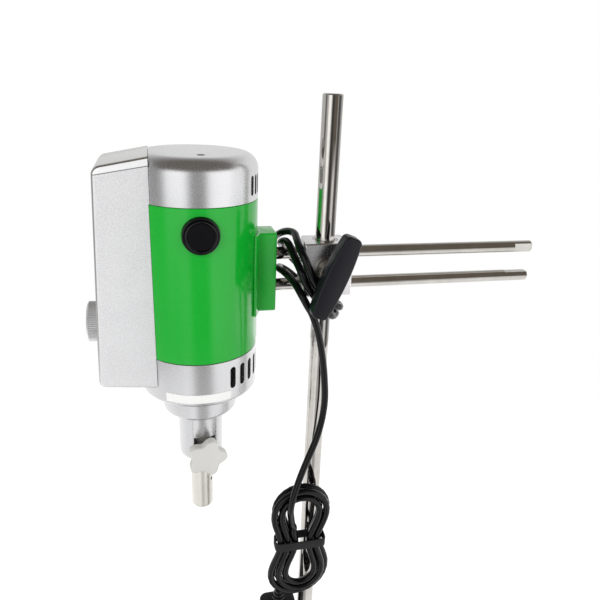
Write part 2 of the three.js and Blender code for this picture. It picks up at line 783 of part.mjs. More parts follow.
function makeLowerCap() {
  const top = lowerJoint - seam;
  const edge = mirrored(quarterRound(bodyRadius, -lowerCapBottom, lowerRound, arcParts)).reverse();
  const outline = [[0, lowerCapBottom], ...edge, [bodyRadius, top], [0, top]];
  const lipTop = lowerJoint + lipHeight;
  const floor = lowerCapBottom + lowerFloor;
  const hollow = solid(rod(capBore, floor, lipTop + past, roundSteps));
  let body = join(solid(turned(outline, roundSteps)), solid(rod(lipOuter, top - seam, lipTop, roundSteps)));
  body = cut(body, hollow);
  const bosses = join(
    solid(rod(bearingBoss, floor - edgeBreak, lowerBearingZ + bearingHeight + edgeBreak)),
    atBolts(solid(rod(boltBoss, floor - edgeBreak, top))),
  );
  const headTop = lowerCapBottom + boltHeadHeight + edgeBreak;
  const bores = join(
    solid(rod(bearingRadius + fitGap, lowerBearingZ - fitGap, lowerBearingZ + bearingHeight + past)),
    solid(rod(shaftRadius + shaftClearance, lowerCapBottom - past, lowerBearingZ + past)),
    solid(rod(spigotRadius + fitGap, lowerCapBottom - past, lowerCapBottom + spigotHeight + fitGap, roundSteps)),
    atBolts(solid(rod(boltRadius + fitGap, lowerCapBottom - past, lipTop + past, screwSteps))),
    atBolts(solid(rod(boltHeadRadius + fitGap, lowerCapBottom - past, headTop + fitGap))),
  );
  body = cut(join(body, bosses), bores);
  body = slotRow(body, lowerSlotCount, lowerSlotPitch, lowerSlotWidth, lowerSlotBottom, lowerSlotHeight);
  addHead("lower_cap", body, finishes.castSilver);

  const head = solid(rod(boltHeadRadius, headTop - boltHeadHeight, headTop));
  const shank = solid(rod(boltRadius, headTop - edgeBreak, boltTop, screwSteps));
  const socket = socketTool(boltHeadRadius / 2, lowerCapBottom - past, headTop - boltHeadHeight / 2);
  const bolt = cut(join(head, shank), socket).translate([boltCircle, 0, 0]);
  addHead("through_bolt_rear", bolt.rotate([0, 0, boltAngle]), finishes.steel);
  addHead("through_bolt_front", bolt.rotate([0, 0, boltAngle + 180]), finishes.steel);
}

// Neck with its front flat and window, the chuck tube, and the star knob that clamps it
const turnedNeck = (body) => body.rotate([0, 0, neckTurn]);

function makeNeck() {
  const spigotTop = lowerCapBottom + spigotHeight;
  const seat = lowerCapBottom - fitGap;
  const outline = [[0, spigotTop], [spigotRadius, spigotTop], [spigotRadius, seat], [ringRadius, seat],
    ...mirrored(quarterRound(ringRadius, -ringBottom, ringRound, arcParts)), [barrelRadius, ringBottom],
    ...mirrored(quarterRound(barrelRadius, -barrelBottom, barrelRound, arcParts)), [0, barrelBottom]];
  const flatY = barrelFlat - barrelRadius;
  const body = cut(
    solid(turned(outline, roundSteps)),
    solid(rod(barrelBore, barrelBoreEnd, spigotTop + past, roundSteps)),
    solid(rod(chuckRadius + fitGap, barrelBottom - past, barrelBoreEnd + past, rodSteps)),
    solid(block(-barrelRadius, barrelRadius, -ringRadius, flatY, barrelBottom - past, ringBottom)),
    solid(block(-windowWidth / 2, windowWidth / 2, -ringRadius, 0, windowBottom, windowTop)),
    solid(alongFront(rod(starScrewRadius + fitGap, 0, ringRadius))).translate([0, 0, starZ]),
  );
  addHead("neck_barrel", turnedNeck(body), finishes.castSilver);
}

function makeChuck() {
  const outline = [[0, chuckTop], [chuckRadius, chuckTop],
    ...mirrored(quarterRound(chuckRadius, -chuckBottom, chuckRound, 3)), [0, chuckBottom]];
  const studBore = rod(starScrewRadius + slideGap, 0, chuckRadius + past);
  const studHole = solid(alongFront(studBore)).translate([0, 0, starZ]);
  const sideHole = solid(alongX(rod(chuckHoleRadius, 0, chuckRadius + past))).translate([0, 0, chuckHoleZ]);
  const body = cut(
    solid(turned(outline, rodSteps)),
    solid(rod(chuckBore, chuckBottom - past, chuckTop + past, rodSteps)),
    turnedNeck(studHole),
    sideHole.rotate([0, 0, chuckHoleAngle]),
  );
  addHead("chuck_tube", body, finishes.steel);
}

function makeStarKnob() {
  const middle = (starRadius + starValley) / 2;
  const swing = (starRadius - starValley) / 2;
  const points = [];
  const steps = starLobes * 7;
  for (let i = 0; i < steps; i += 1) {
    const angle = (2 * Math.PI * i) / steps;
    const radius = middle + swing * Math.cos(starLobes * (angle - degrees(starFirstLobe)));
    points.push(new THREE.Vector2(radius * Math.cos(angle), radius * Math.sin(angle)));
  }
  const back = starFront - starThickness;
  const star = solid(softPrism(new THREE.Shape(points), back, starFront, starEdge, 2));
  const collar = solid(rod(starCollarRadius, starCollarBack, back + past));
  const recess = solid(rod(starScrewRadius + fitGap, starCollarBack - past, starScrewOuter + fitGap));
  const front = (body) => turnedNeck(body.rotate([90, 0, 0]).translate([0, 0, starZ]));
  addHead("star_knob", front(cut(join(star, collar), recess)), finishes.castSilver);
  const stud = solid(chamferedRod(starScrewRadius, starScrewInner, starScrewOuter, edgeBreak / 2));
  addHead("star_stud", front(stud), finishes.steel);
}

// Motor: rotor on its shaft, wound stator, bearings and the coupling that drives the tool
const coreBottom = coreMidZ - coreHalfHeight;
const coreTop = coreMidZ + coreHalfHeight;
const shaftFit = shaftRadius + fitGap;

function sleeved(outer, from, to, bore = shaftFit) {
  return cut(solid(rod(outer, from, to)), solid(rod(bore, from - past, to + past)));
}

function makeRotor() {
  addHead("motor_shaft", solid(chamferedRod(shaftRadius, shaftBottom, shaftTop, edgeBreak / 2)), finishes.steel);

  let drum = join(
    solid(rod(armatureRadius, coreBottom, coreTop, armatureSlots * 2)),
    solid(rod(windingRadius, coreBottom - windingOverhang, coreTop + windingOverhang)),
  );
  const slot = block(armatureRadius - armatureSlotDepth, armatureRadius + past, -armatureSlotWidth / 2,
    armatureSlotWidth / 2, coreBottom - past, coreTop + past);
  for (let i = 0; i < armatureSlots; i += 1) {
    drum = cut(drum, solid(slot).rotate([0, 0, (360 * i) / armatureSlots]));
  }
  const bore = solid(rod(shaftFit, coreBottom - 2 * windingOverhang, coreTop + 2 * windingOverhang));
  addHead("armature", cut(drum, bore), finishes.lamination);

  const commutatorTop = commutatorBottom + commutatorHeight;
  addHead("commutator", sleeved(commutatorRadius, commutatorBottom, commutatorTop), finishes.copper);

  const disc = solid(rod(fanRadius, fanZ, fanZ + fanDisc, roundSteps));
  let fan = join(disc, solid(rod(fanHubRadius, fanZ, fanZ + fanHeight)));
  const blade = block(fanHubRadius - edgeBreak, fanRadius - edgeBreak, -fanDisc / 2, fanDisc / 2,
    fanZ + fanDisc / 2, fanZ + fanHeight);
  for (let i = 0; i < fanBlades; i += 1) {
    fan = join(fan, solid(blade).rotate([0, 0, (360 * i) / fanBlades]));
  }
  addHead("fan", cut(fan, solid(rod(shaftFit, fanZ - past, fanZ + fanHeight + past))), finishes.blackPlastic);

  const socketTop = couplingBottom + couplingSocketDepth;
  const coupling = cut(
    solid(chamferedRod(couplingRadius, couplingBottom, couplingTop, edgeBreak)),
    solid(rod(shaftFit, shaftBottom - fitGap, couplingTop + past)),
    socketTool(couplingSocket, couplingBottom - past, socketTop),
  );
  addHead("drive_coupling", coupling, finishes.steel);
}

function makeStator() {
  let core = cut(
    solid(rod(coreYokeOuter, coreBottom, coreTop, roundSteps)),
    solid(rod(coreInner, coreBottom - past, coreTop + past, roundSteps)),
  );
  for (const side of [0, 180]) {
    const neck = sector(shoeOuter - coilToShoe, coreInner + past,
      side - neckHalfAngle, side + neckHalfAngle, coreBottom, coreTop);
    const shoe = sector(poleBore, shoeOuter, side - shoeHalfAngle, side + shoeHalfAngle,
      coreBottom, coreTop, 10);
    core = join(core, solid(neck), solid(shoe));
  }
  core = cut(core, atBolts(solid(rod(boltRadius + fitGap, coreBottom - past, coreTop + past, screwSteps))));
  addHead("stator_core", core, finishes.lamination);

  const coil = cut(
    solid(sector(coilInner, coilOuter, -coilHalfAngle, coilHalfAngle, coreBottom - coilOverhang,
      coreTop + coilOverhang, 8)),
    solid(sector(coilInner - past, coilOuter + past, -coilWindowAngle, coilWindowAngle, coreBottom - edgeBreak,
      coreTop + edgeBreak, 3)),
  );
  addHead("field_coil_right", coil, finishes.copper);
  addHead("field_coil_left", coil.rotate([0, 0, 180]), finishes.copper);
}

function makeBearings() {
  for (const [name, z] of [["upper", upperBearingZ], ["lower", lowerBearingZ]]) {
    addHead(`${name}_bearing`, sleeved(bearingRadius, z, z + bearingHeight), finishes.steel);
  }
}

// A wound spring: one unbroken wire whose centre follows a helix along +Z
function springCoil(radius, wire, from, to, turns) {
  const perTurn = 8;
  const sides = 5;
  const steps = turns * perTurn;
  const rise = (to - from - 2 * wire) / steps;
  const points = [];
  const corners = [];
  for (let i = 0; i <= steps; i += 1) {
    const turn = (2 * Math.PI * i) / perTurn;
    for (let side = 0; side < sides; side += 1) {
      const lift = (2 * Math.PI * side) / sides;
      const out = radius + wire * Math.cos(lift);
      points.push(out * Math.cos(turn), out * Math.sin(turn), from + wire + rise * i + wire * Math.sin(lift));
    }
  }
  stitchRings(corners, steps, sides);
  return closedTube(points, corners);
}

// Joins each ring of points to the next, and closes the two ends
function stitchRings(corners, steps, sides) {
  for (let i = 0; i < steps; i += 1) {
    for (let side = 0; side < sides; side += 1) {
      const here = i * sides + side;
      const beside = i * sides + ((side + 1) % sides);
      corners.push(here, beside, here + sides, beside, beside + sides, here + sides);
    }
  }
  const last = steps * sides;
  for (let side = 1; side < sides - 1; side += 1) {
    corners.push(0, side + 1, side);
    corners.push(last, last + side, last + side + 1);
  }
}

function closedTube(points, corners) {
  const geometry = new THREE.BufferGeometry();
  geometry.setAttribute("position", new THREE.Float32BufferAttribute(points, 3));
  geometry.setIndex(corners);
  return geometry;
}

// Brush gear, made for the front and turned round for the rear
function makeBrushes() {
  const discFront = brushCapFront;
  const rim = brushCapFront - capStep;
  const seat = brushSeat + fitGap;
  const cap = solid(turned([[0, plugInner], [plugRadius, plugInner], [plugRadius, seat], [brushCapRadius, seat],
    [brushCapRadius, rim - edgeBreak], [brushCapRadius - edgeBreak, rim], [capDiscRadius + edgeBreak, rim],
    [capDiscRadius, discFront - edgeBreak / 2], [capDiscRadius - edgeBreak, discFront],
    [0, discFront]], 2 * smallSteps));
  const channel = brushWidth / 2 + slideGap;
  const holder = cut(
    solid(rod(holderRadius, holderInner, brushSeat)),
    solid(block(-channel, channel, -channel, channel, holderInner - past, brushSeat)),
    solid(rod(plugRadius + fitGap, plugInner - fitGap, brushSeat + past)),
  );
  const half = brushWidth / 2;
  const contact = commutatorRadius + fitGap;
  const brushBack = contact + brushLength;
  const hollow = solid(rod(contact, -bodyRadius, bodyRadius)).rotate([90, 0, 0]);
  const brush = cut(solid(block(-half, half, -half, half, 0, brushBack)), hollow);
  const spring = solid(springCoil(springRadius, springWire, brushBack + fitGap, plugInner - fitGap, springTurns));
  for (const [name, turn] of [["front", 0], ["rear", 180]]) {
    const place = (body) => body.rotate([90, 0, 0]).translate([0, 0, brushZ]).rotate([0, 0, turn]);
    addHead(`brush_cap_${name}`, place(cap), finishes.glossyBlack);
    addHead(`brush_holder_${name}`, place(holder), finishes.brass);
    addHead(`carbon_brush_${name}`, place(brush), finishes.carbon);
    addHead(`brush_spring_${name}`, place(spring), finishes.steel);
  }
}

// Control box on the motor's left, open towards the housing that closes it
const boxTilt = Math.atan2(boxOuterTopX - boxOuterBottomX, boxTopOuter - boxBottomOuter);
const faceX = (z) => boxOuterBottomX + (z - boxBottomOuter) * Math.tan(boxTilt);

function boxOutline(inset) {
  const corners = [
    [0, boxTopInner - inset],
    [boxInnerX, boxTopInner - inset],
    [boxOuterTopX + inset, boxTopOuter - inset],
    [boxOuterBottomX + inset, boxBottomOuter + inset],
    [boxInnerX, boxBottomInner + inset],
    [0, boxBottomInner + inset],
  ];
  return roundedOutline(corners, boxCorner);
}

// From the outline's plane to the XZ plane, thickness along -Y
const boxSlab = (inset, edge) => {
  const half = boxHalfDepth - inset;
  return solid(alongFront(softPrism(boxOutline(inset), -half, half, edge, 2, 4)));
};

function makeControlBox() {
  const wall = boxWall;
  let body = cut(boxSlab(0, boxEdgeRound), boxSlab(wall, edgeBreak));
  const posts = [];
  for (const y of [boardInset - boardHalfWidth, boardHalfWidth - boardInset]) {
    for (const z of [boardBottom + boardInset, boardTop - boardInset]) {
      const post = alongX(rod(boardPostRadius, faceX(z) + wall / 2, boardX - fitGap));
      posts.push(solid(post).translate([0, y, z]));
    }
  }
  body = join(body, ...posts);
  const shaftHole = onFace(rod(potBushRadius + fitGap, -wall - past, past));
  const cordHole = solid(rod(reliefNeck + fitGap, 0, boxHalfDepth + past)).rotate([-90, 0, 0]);
  const depth = boxHalfDepth + past;
  body = cut(
    body,
    solid(rod(housingSeat, boxBottomInner - past, capJoint + fitGap, roundSteps)),
    solid(block(boxInnerX, past, -depth, depth, boxBottomInner - past, boxTopInner + past)),
    shaftHole,
    cordHole.translate([reliefX, 0, reliefZ]),
  );
  addHead("control_box", body, finishes.hammeredSilver);

  const board = block(boardX, boardX + boardThickness, -boardHalfWidth, boardHalfWidth, boardBottom, boardTop);
  addHead("circuit_board", solid(board), finishes.board);
}

// Places a piece drawn along +Z on the box's outer face, at the speed knob
function onFace(geometry) {
  return solid(geometry).rotate([0, (boxTilt * 180) / Math.PI - 90, 0]).translate([faceX(knobZ), 0, knobZ]);
}

function makeSpeedControl() {
  const inside = -boxWall - fitGap;
  const bushEnd = knobDepth * potBushShare;
  const pot = join(
    onFace(rod(potRadius, inside - potDepth, inside)),
    onFace(rod(potBushRadius, inside - edgeBreak, bushEnd)),
  );
  const shaftBore = onFace(rod(potShaftRadius + fitGap, inside, bushEnd + past));
  addHead("potentiometer", cut(pot, shaftBore), finishes.steel);

  const points = [];
  for (let i = 0; i < knobFlutes * 2; i += 1) {
    const angle = (Math.PI * i) / knobFlutes;
    const radius = knobRadius - (i % 2) * knobFluteDepth;
    points.push(new THREE.Vector2(radius * Math.cos(angle), radius * Math.sin(angle)));
  }
  const grip = softPrism(new THREE.Shape(points), fitGap, knobDepth, edgeBreak);
  const shell = cut(onFace(grip), onFace(rod(potBushRadius + slideGap, -past, bushEnd + fitGap)));
  const shaft = onFace(rod(potShaftRadius, inside + fitGap, bushEnd + past));
  addHead("speed_knob", join(shell, shaft), finishes.castSilver);
}

// The lead's route out of the box and round behind the housing, up to the arm.
// Each point is x, y and the height above the rods' mid height.
const leadRoute = [
  [reliefX, boxHalfDepth + reliefLength + fitGap, reliefZ],
  [-53, 66, -20.4],
  [-50, 79, -23],
  [-39, 92, -30],
  [-20, 99, -40],
  [2, 97, -46],
  [22, 86, -42],
  [37, 69, -28],
  [47, 49, -8],
  [54.6, 34, 8.2],
  [56.8, 29, 11.4],
  [59, 24, 14.6],
];

// From there twice round the clamp and down to the hank
const wrapRoute = [
  [60.1, 21.5, 16.2],
  [62, 15, 21.8],
  [64.4, 4, 27.8],
  [67.8, -5, 31],
  [70.4, -13, 31.4],
  [70.4, -21, 29.6],
  [70.2, -29.5, 26.8],
  [71.4, -37, 22.5],
  [75, -40.4, 14],
  [79.2, -40.9, 4.4],
  [85, -40.4, -4.5],
  [91.5, -40, -11.5],
  [97.5, -38.4, -17.2],
  [102.6, -33.6, -20.6],
  [104.6, -24, -22.2],
  [104.6, -12, -25.2],
  [103, 0, -27.6],
  [99.5, 11, -26],
  [94, 17.5, -18.5],
  [86.5, 19, -8],
  [75.5, 19, 4],
  [68, 14.5, 14],
  [64.6, 6.5, 19],
  [64.4, -1, 22.2],
  [65.6, -8.5, 24.2],
  [66.6, -15, 23.2],
  [68, -21.5, 18.6],
  [69.2, -30, 14],
  [71.2, -36.6, 8.6],
  [75.2, -37.1, -0.4],
  [81.2, -37.2, -9.4],
  [88, -37.4, -17.4],
  [93.5, -36.4, -24],
  [97.9, -31.9, -28.4],
  [103.2, -23, -30],
  [103.6, -11, -32.4],
  [102, 1, -33.8],
  [98, 11, -32.4],
  [91, 17.5, -25],
  [77.5, 19, -11.5],
  [69.5, 14.5, -4.8],
  [64, 7.5, -0.8],
  [62.6, 0.5, 0],
  [64.4, -9, 0.3],
  [66.8, -20, -0.6],
  [69, -31, -3],
  [71.8, -38.6, -8.4],
  [75.8, -40.2, -15.8],
  [79.4, -40.6, -22],
  [83, -40.5, -31.2],
  [87, -39, -44.4],
  [90.9, -37, -62.5],
  [93.5, -36, -80.5],
  [94.9, -35.5, -98.9],
  [93.3, -36, -116.7],
  [88.9, -37.5, -134.1],
  [81.7, -40.5, -150.6],
  [74.7, -44, -167.1],
  [69.5, -46.6, -183.6],
  [68.3, -46.2, -194],
  [69.7, -43.4, -205],
  [72, -40.7, -215.5],
];

// From the hank to the plug, behind the lower folds
const tailRoute = [
  [68.8, -32.6, -256],
  [67, -29, -265],
  [65.6, -27.6, -274],
  [plugX, plugY, -285],
];

function tubeAlong(curve, radius, sides, steps) {
  const section = new THREE.Shape();
  for (let side = 0; side < sides; side += 1) {
    const angle = (2 * Math.PI * (side + 0.5)) / sides;
    const place = [radius * Math.cos(angle), radius * Math.sin(angle)];
    if (side === 0) section.moveTo(...place);
    else section.lineTo(...place);
  }
  section.closePath();
  return new THREE.ExtrudeGeometry(section, { steps, extrudePath: curve, bevelEnabled: false });
}

const curveThrough = (points) =>
  new THREE.CatmullRomCurve3(points.map((point) => new THREE.Vector3(...point)), false, "centripetal");

// Half the width of a loop, its layer and its place, for a distance along the hank counted in loops
function hankPoint(along) {
  const reverse = hankLoops / 2;
  const wound = along < reverse ? along : hankLoops - along;
  const radius = hankInnerRadius + hankStep * wound;
  const climb = THREE.MathUtils.smoothstep(along, reverse - 0.25, reverse + 0.25);
  const y = THREE.MathUtils.lerp(hankFrontY, hankRearY, climb);
  const part = along - Math.floor(along);
  const run = hankTopZ - hankBottomZ;
  let x;
  let z;
  if (part < 0.125 || part >= 0.875) {
    const angle = (part < 0.5 ? part : part - 1) * 4 * Math.PI;
    x = radius * Math.sin(angle);
    z = hankBottomZ - radius * Math.cos(angle);
  } else if (part >= 0.375 && part < 0.625) {
    const angle = (part - 0.5) * 4 * Math.PI;
    x = -radius * Math.sin(angle);
    z = hankTopZ + radius * Math.cos(angle);
  } else {
    const share = part < 0.5 ? (part - 0.125) * 4 : (0.875 - part) * 4;
    const pull = hankPull * Math.sin(Math.PI * share) ** 2;
    x = (part < 0.5 ? 1 : -1) * (radius - pull);
    z = hankBottomZ + run * share;
  }
  return new THREE.Vector3(hankX + x, y, z);
}

// The wound part of the lead, as one unbroken tube
const hankSteps = 24; // in each loop
const hankSides = 6;

function hankCurvePoints(perStep) {
  const count = Math.round((hankEnd - hankStart) * hankSteps * perStep);
  const points = [];
  for (let i = 0; i <= count; i += 1) points.push(hankPoint(hankStart + ((hankEnd - hankStart) * i) / count));
  return points;
}

function makeHank() {
  const centres = hankCurvePoints(1);
  const points = [];
  const corners = [];
  const out = new THREE.Vector3(0, 1, 0);
  centres.forEach((centre, i) => {
    const before = centres[Math.max(i - 1, 0)];
    const after = centres[Math.min(i + 1, centres.length - 1)];
    const along = after.clone().sub(before).normalize();
    if (i === 0 || i === centres.length - 1) along.set(0, 0, -1);
    const side = new THREE.Vector3().crossVectors(along, out).normalize();
    const up = new THREE.Vector3().crossVectors(side, along);
    for (let k = 0; k < hankSides; k += 1) {
      const angle = (2 * Math.PI * (k + 0.5)) / hankSides;
      const place = centre.clone().addScaledVector(side, cordRadius * Math.cos(angle));
      points.push(...place.addScaledVector(up, cordRadius * Math.sin(angle)).toArray());
    }
  });
  stitchRings(corners, centres.length - 1, hankSides);
  addHead("cord_hank", solid(closedTube(points, corners)), finishes.rubber);
}

// Least gap between strands of the hank, measured on points of its centre line
function printHankGap() {
  const points = hankCurvePoints(3);
  const apart = hankSteps;
  let least = Infinity;
  for (let i = 0; i < points.length; i += 1) {
    for (let j = i + apart; j < points.length; j += 1) least = Math.min(least, points[i].distanceTo(points[j]));
  }
  console.log(`least gap in the hank: ${(least - 2 * cordRadius).toFixed(2)} mm`);
}

// Strain relief, free lead, hank with its tie, tail and plug
function makeCord() {
  const inside = -boxWall - fitGap;
  const tip = reliefLength;
  const relief = turned([
    [0, inside - reliefCollarWidth], [reliefRoot, inside - reliefCollarWidth], [reliefRoot, inside],
    [reliefNeck, inside], [reliefNeck, fitGap], [reliefCollar, fitGap], [reliefCollar, fitGap + reliefCollarWidth],
    [reliefRoot, 2 * reliefCollarWidth], [reliefTip, tip], [0, tip]]);
  const placed = solid(relief).rotate([-90, 0, 0]).translate([reliefX, boxHalfDepth, reliefZ]);
  addHead("cord_relief", placed, finishes.rubber);

  const leadTube = tubeAlong(curveThrough(leadRoute), cordRadius, cordSides, leadSteps);
  addHead("cord_lead", solid(leadTube), finishes.rubber);

  const leadEnd = new THREE.Vector3(...leadRoute.at(-1));
  const leadAim = leadEnd.clone().sub(new THREE.Vector3(...leadRoute.at(-2))).setLength(fitGap);
  const hankTop = hankPoint(hankStart);
  const hankFoot = hankPoint(hankEnd);
  const wraps = [leadEnd.add(leadAim).toArray(), ...wrapRoute, [hankTop.x, hankTop.y, hankTop.z + 2 * cordRadius],
    [hankTop.x, hankTop.y, hankTop.z + fitGap]];
  addHead("power_cord", solid(tubeAlong(curveThrough(wraps), cordRadius, cordSides, cordSteps)), finishes.rubber);
  makeHank();
  printHankGap();
  const foot = [
    [hankFoot.x, hankFoot.y, hankFoot.z - fitGap],
    [hankFoot.x, hankFoot.y, hankFoot.z - 2 * cordRadius],
  ];
  const tail = [...foot, ...tailRoute, [plugX, plugY, plugTopZ + fitGap]];
  addHead("cord_tail", solid(tubeAlong(curveThrough(tail), cordRadius, cordSides, tailSteps)), finishes.rubber);
}

function makeTie() {
  const waistZ = (hankTopZ + hankBottomZ) / 2;
  const outermost = hankInnerRadius + hankStep * (hankLoops / 2 - 0.25) - hankPull + cordRadius;
  const halfWidth = outermost + tieGap;
  const halfDepth = (hankRearY - hankFrontY) / 2 + cordRadius + fitGap;
  const band = (grow, from, to) => {
    const shape = roundedRectangle(halfWidth + grow, halfDepth + grow, cordRadius + fitGap + grow);
    return solid(prism(shape, from, to, arcParts));
  };
  const low = waistZ - tieHeight / 2;
  const high = waistZ + tieHeight / 2;
  const ring = cut(band(tieThickness, low, high), band(0, low - past, high + past));
  addHead("cord_tie", ring.translate([hankX, (hankFrontY + hankRearY) / 2, 0]), finishes.blackPlastic);
}

// Plug with an upright earth blade and two slanted blades, hanging with its blades down
function makePlug() {
  const bodyTop = plugTopZ - plugNeckLength;
  const bodyBottom = bodyTop - plugBodyLength;
  const outline = roundedRectangle(plugHalfWidth, plugHalfDepth, plugCorner);
  const neck = turned([[0, bodyTop - plugEdge], [plugNeckBase, bodyTop - plugEdge], [plugNeckBase, bodyTop],
    [cordRadius + edgeBreak, plugTopZ], [0, plugTopZ]]);
  let body = join(solid(softPrism(outline, bodyBottom, bodyTop, plugEdge, 2)), solid(neck));
  const top = bodyBottom + bladeInset;
  const blade = (length, grow) => {
    const halfX = bladeThickness / 2 + grow;
    const halfY = bladeWidth / 2 + grow;
    return solid(block(-halfX, halfX, -halfY, halfY, bodyBottom - length, top + grow));
  };
  const angle = degrees(bladeAngle);
  const places = [
    ["left", bladeLength, -bladeCircle * Math.sin(angle), bladeCircle * Math.cos(angle), -bladeSlant],
    ["right", bladeLength, bladeCircle * Math.sin(angle), bladeCircle * Math.cos(angle), bladeSlant],
    ["earth", earthLength, 0, -earthCircle, 0],
  ];
  for (const [name, length, x, y, slant] of places) {
    const put = (piece) => piece.rotate([0, 0, slant]).translate([plugX + x, plugY + y + plugAxisOffset, 0]);
    addHead(`plug_blade_${name}`, put(blade(length, 0)), finishes.brass);
    body = cut(body, put(blade(length, fitGap)).translate([-plugX, -plugY, 0]));
  }
  addHead("plug_body", body.translate([plugX, plugY, 0]), finishes.blackPlastic);
}

makeStand();
makeClamp();
makeArm();
makeTopCap();
makeSleeve();
makeLowerCap();
makeNeck();
makeChuck();
makeStarKnob();
makeRotor();
makeStator();
makeBearings();
makeBrushes();
makeControlBox();
makeSpeedControl();
makeCord();
makeTie();
makePlug();

// The frame's origin lies on the bench, under the middle of the whole stand
const leftEnd = baseCentreX - baseLength / 2;
group.position.x = -(rodEndX + leftEnd) / 2;

export default group;
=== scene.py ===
import math

import bmesh
import bpy
from mathutils import Matrix, Vector


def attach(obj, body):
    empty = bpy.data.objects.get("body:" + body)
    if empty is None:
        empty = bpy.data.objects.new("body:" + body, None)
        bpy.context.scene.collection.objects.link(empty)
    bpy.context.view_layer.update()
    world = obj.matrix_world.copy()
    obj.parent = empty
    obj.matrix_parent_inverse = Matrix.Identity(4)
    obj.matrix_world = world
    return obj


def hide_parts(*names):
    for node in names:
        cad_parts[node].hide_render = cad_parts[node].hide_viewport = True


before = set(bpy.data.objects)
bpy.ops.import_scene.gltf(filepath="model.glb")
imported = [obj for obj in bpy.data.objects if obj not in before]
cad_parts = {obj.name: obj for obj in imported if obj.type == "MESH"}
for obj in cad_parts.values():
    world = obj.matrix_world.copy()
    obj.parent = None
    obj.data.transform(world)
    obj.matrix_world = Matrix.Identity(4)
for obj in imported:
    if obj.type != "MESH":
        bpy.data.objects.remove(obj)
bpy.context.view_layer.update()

# Every shape is drawn in millimetres from the motor's axis, with height 0 midway between the two arm rods.
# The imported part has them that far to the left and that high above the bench:
MOTOR_AXIS_X = -73
ROD_HEIGHT = 495
MM = 0.001

TO_ROW = Matrix.Scale(MM, 4) @ Matrix.Translation((MOTOR_AXIS_X, 0, ROD_HEIGHT))

# Sizes and places that several pieces share
BODY_RADIUS = 44.45
BRUSH_Z = 39.2
BOX_HALF_DEPTH = 30.5
BOX_END_X = -31.9
BOX_WALL = 2.6
ROD_RADIUS = 4.75
ROD_Z = 12.7
SET_SCREW_BORE = 2.8
SET_SCREW_START = 5  # inside the rod's bore
POST_X = 92.2
POST_Y = -19.8
POST_RADIUS = 7.15
FIT = 0.3  # between pieces that fit together
OVERRUN = 2  # by which a cutting tool sticks out of what it cuts


def row(x, y, z):
    """A point in millimetres from the motor's axis, as metres in the part's frame."""
    return TO_ROW @ Vector((x, y, z))


def add_object(name, data):
    """A new object of the scene, for a mesh, curve, lamp or camera."""
    made = bpy.data.objects.new(name, data)
    bpy.context.scene.collection.objects.link(made)
    return made


# Camera, at the photograph's angle

CAMERA_PLACE = (-27.74, -427.95, 142.23)
CAMERA_YAW = 14.159  # degrees to the right of straight back
CAMERA_PITCH = 20.961  # degrees down
CAMERA_ROLL = -2.448
CAMERA_LENS = 35.595
CAMERA_SENSOR = 36
CAMERA_CLIP = (0.01, 50)


def make_camera():
    yaw, pitch, roll = (math.radians(a) for a in (CAMERA_YAW, CAMERA_PITCH, CAMERA_ROLL))
    ahead = Vector((math.sin(yaw) * math.cos(pitch), math.cos(yaw) * math.cos(pitch), -math.sin(pitch)))
    level = Vector((math.cos(yaw), -math.sin(yaw), 0))
    down = ahead.cross(level)
    right = level * math.cos(roll) + down * math.sin(roll)
    up = -(down * math.cos(roll) - level * math.sin(roll))
    data = bpy.data.cameras.new("camera")
    data.lens = CAMERA_LENS
    data.sensor_width = CAMERA_SENSOR
    data.sensor_fit = "HORIZONTAL"
    data.clip_start, data.clip_end = CAMERA_CLIP
    camera = add_object("camera", data)
    turn = Matrix((right, up, -ahead)).transposed().to_4x4()
    camera.matrix_world = Matrix.Translation(row(*CAMERA_PLACE)) @ turn
    bpy.context.scene.camera = camera


make_camera()


# Finishes

PATCH = 30  # millimetres over which a surface's tone wanders
NOISE_RANGE = {"From Min": 0.3, "From Max": 0.7}  # nearly all values of a noise lie in it
SUM_RANGE = {"From Min": 0.7, "From Max": 1.3}  # and those of two noises added

# The control box's front and back: sand up to a seam line, and above it a smooth strip with a painted
# highlight
FACE_DEPTH = BOX_HALF_DEPTH - 0.4
SEAM_SLOPE = 0.172
SEAM_Z = 87.874
SEAM_HALF_WIDTH = 0.3
SEAM_COLOUR = "#77777C"
# A colour, and how metallic it is
# The strip's near-white colour and low metallic are a painted highlight: the lit band along the rounded top
# edge
PAINTED_HIGHLIGHT_LACQUER = ("#FAFAFA", 0.25)
WALL_LACQUER = ("#CDCDCB", 0.95)
SMOOTH_ROUGHNESS = 0.24


def paint(text):
    """An sRGB colour such as #22B43C, as the linear colour that a socket takes."""
    channels = [int(text[i : i + 2], 16) / 255 for i in (1, 3, 5)]
    return (*[c / 12.92 if c <= 0.04045 else ((c + 0.055) / 1.055) ** 2.4 for c in channels], 1)


def add(tree, kind, inputs=None, **settings):
    """Adds a shader node with its settings, and fills its inputs with values or with other nodes' outputs."""
    node = tree.nodes.new("ShaderNode" + kind)
    for name, value in settings.items():
        setattr(node, name, value)
    for name, value in (inputs or {}).items():
        if isinstance(value, bpy.types.NodeSocket):
            tree.links.new(value, node.inputs[name])
        else:
            node.inputs[name].default_value = value
    return node


